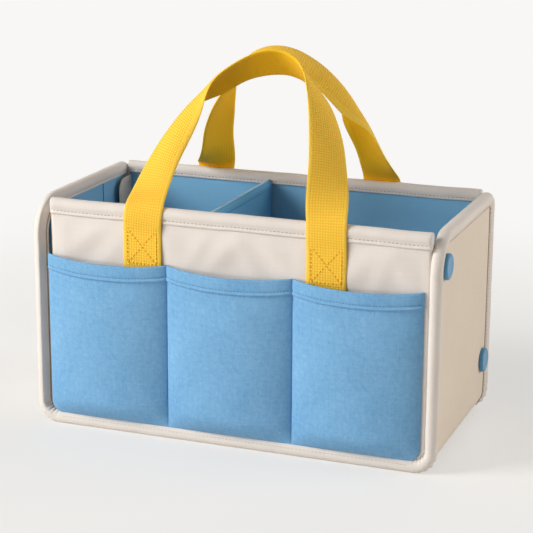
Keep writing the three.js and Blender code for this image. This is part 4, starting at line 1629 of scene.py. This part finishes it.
@dataclass
class Studio:
    """The pale floor, the soft light and the camera."""

    azimuth: float = 20.665
    elevation: float = 15.291
    roll: float = 0.287
    focal: float = 1708.58
    distance: float = 1306.57
    aim: Triple = (0.09, 0.0, 119.07)
    sensor: float = 36.0
    floor_half: float = 9.0
    ambient: float = 0.22
    backdrop: float = 0.9
    near: float = 0.25
    far: float = 0.75
    glow: float = 0.5
    lamps: tuple[Lamp, ...] = (
        Lamp("key", (-1.95, -1.45, 1.5), 1.2, 64.0, "fffcf8"),
        Lamp("low", (-1.1, -2.05, 0.12), 0.8, 22.0, "fff8ee"),
        Lamp("fill", (2.3, 0.8, 0.75), 1.4, 31.0, "fff8f0"),
        Lamp("rim", (0.4, 2.1, 1.6), 1.0, 7.0, "ffffff"))

    def camera(self) -> None:
        """Places the camera at the photograph's angle."""
        a, e, r = (math.radians(x) for x in (self.azimuth, self.elevation, self.roll))
        back = Vector((math.sin(a) * math.cos(e), -math.cos(a) * math.cos(e), math.sin(e)))
        right = Vector((math.cos(a), math.sin(a), 0.0))
        up = back.cross(right)
        across = right * math.cos(r) + up * math.sin(r)
        above = up * math.cos(r) - right * math.sin(r)
        data = bpy.data.cameras.new("camera")
        data.sensor_width = self.sensor
        data.lens = self.focal / IMAGE_SIDE * self.sensor
        data.clip_start, data.clip_end = 0.01, 100.0
        made = linked("camera", data)
        spot = (Vector(self.aim) + back * self.distance) * MM
        made.matrix_world = Matrix.Translation(spot) @ Matrix((across, above, back)).transposed().to_4x4()
        bpy.context.scene.camera = made

    def floor(self) -> None:
        """Lays the floor, which glows as the photograph's paper does, away from the caddy most."""
        h = self.floor_half
        mesh = bpy.data.meshes.new("floor")
        mesh.from_pydata([(-h, -h, 0), (h, -h, 0), (h, h, 0), (-h, h, 0)], [], [(0, 1, 2, 3)])
        material = bpy.data.materials.new("floor_paper")
        material.use_nodes = True
        graph = Graph(material.node_tree)
        rays = graph.node("ShaderNodeLightPath")
        camera, glossy, through = (Val(graph, rays.outputs[f"Is {kind} Ray"])
                                   for kind in ("Camera", "Glossy", "Transmission"))
        seen = graph.maths("MAXIMUM", graph.maths("MAXIMUM", camera, glossy), through)
        paper = graph.mix(seen, tint("d8d5d0"), tint("f4f3f2"))
        matt = graph.node("ShaderNodeBsdfDiffuse", None, {"Color": paper})
        away = graph.node("ShaderNodeVectorMath", {"operation": "LENGTH"}, {0: graph.spot()}).outputs["Value"]
        span = {"Value": away, "From Min": self.near, "From Max": self.far}
        ramp = graph.node("ShaderNodeMapRange", {"interpolation_type": "SMOOTHSTEP"}, span)
        share = (Val(graph, ramp.outputs[0]) * (1.0 - self.glow) + self.glow) * seen
        glow = graph.node("ShaderNodeEmission", None, {"Color": tint("f8f7f5"), "Strength": 1.0})
        shader = graph.node("ShaderNodeMixShader", None, {0: share, 1: matt.outputs[0], 2: glow.outputs[0]})
        graph.node("ShaderNodeOutputMaterial", None, {"Surface": shader.outputs[0]})
        mesh.materials.append(material)
        linked("floor", mesh)

    def surround(self) -> None:
        """Sets the light from all round, and the pale backdrop that the camera sees."""
        world = bpy.data.worlds.new("studio")
        bpy.context.scene.world = world
        world.use_nodes = True
        graph = Graph(world.node_tree)
        seen = Val(graph, graph.node("ShaderNodeLightPath").outputs["Is Camera Ray"])
        strength = seen * (self.backdrop - self.ambient) + self.ambient
        light = graph.node("ShaderNodeBackground", None, {"Color": tint("fffdfa"), "Strength": strength})
        graph.node("ShaderNodeOutputWorld", None, {"Surface": light.outputs[0]})

    def build(self) -> None:
        """Sets up the camera, the floor, the surroundings and the lamps."""
        self.camera()
        self.floor()
        self.surround()
        for lamp in self.lamps:
            lamp.hang()
        bpy.context.scene.view_settings.view_transform = "Standard"


def dress_boards() -> None:
    """Gives the CAD nodes that stay inside the cloth their own finishes."""
    for name, node in frame["nodes"].items():
        finish = BOARD if name.endswith("_board") else HOOK if name.endswith("_hook") else None
        if finish:
            node.data.materials.clear()
            node.data.materials.append(finish.material())
            LOG.info("%s in %s", name, finish.name)


def main() -> None:
    """Builds the caddy's pieces in order."""
    logging.basicConfig(level=logging.INFO, format="%(message)s")
    Studio().build()
    for side in Side:
        Strip(side).build()
    Wall(Face.FRONT).build()
    Wall(Face.BACK, edge_ease=-1.4, right_reach=1.4).build()
    for order in range(len(Pocket.names)):
        Pocket(order).build()
    FRONT_HANDLE.build()
    BACK_HANDLE.build()
    Divider().build()
    Snaps().build()
    dress_boards()


if __name__ == "__main__":
    main()
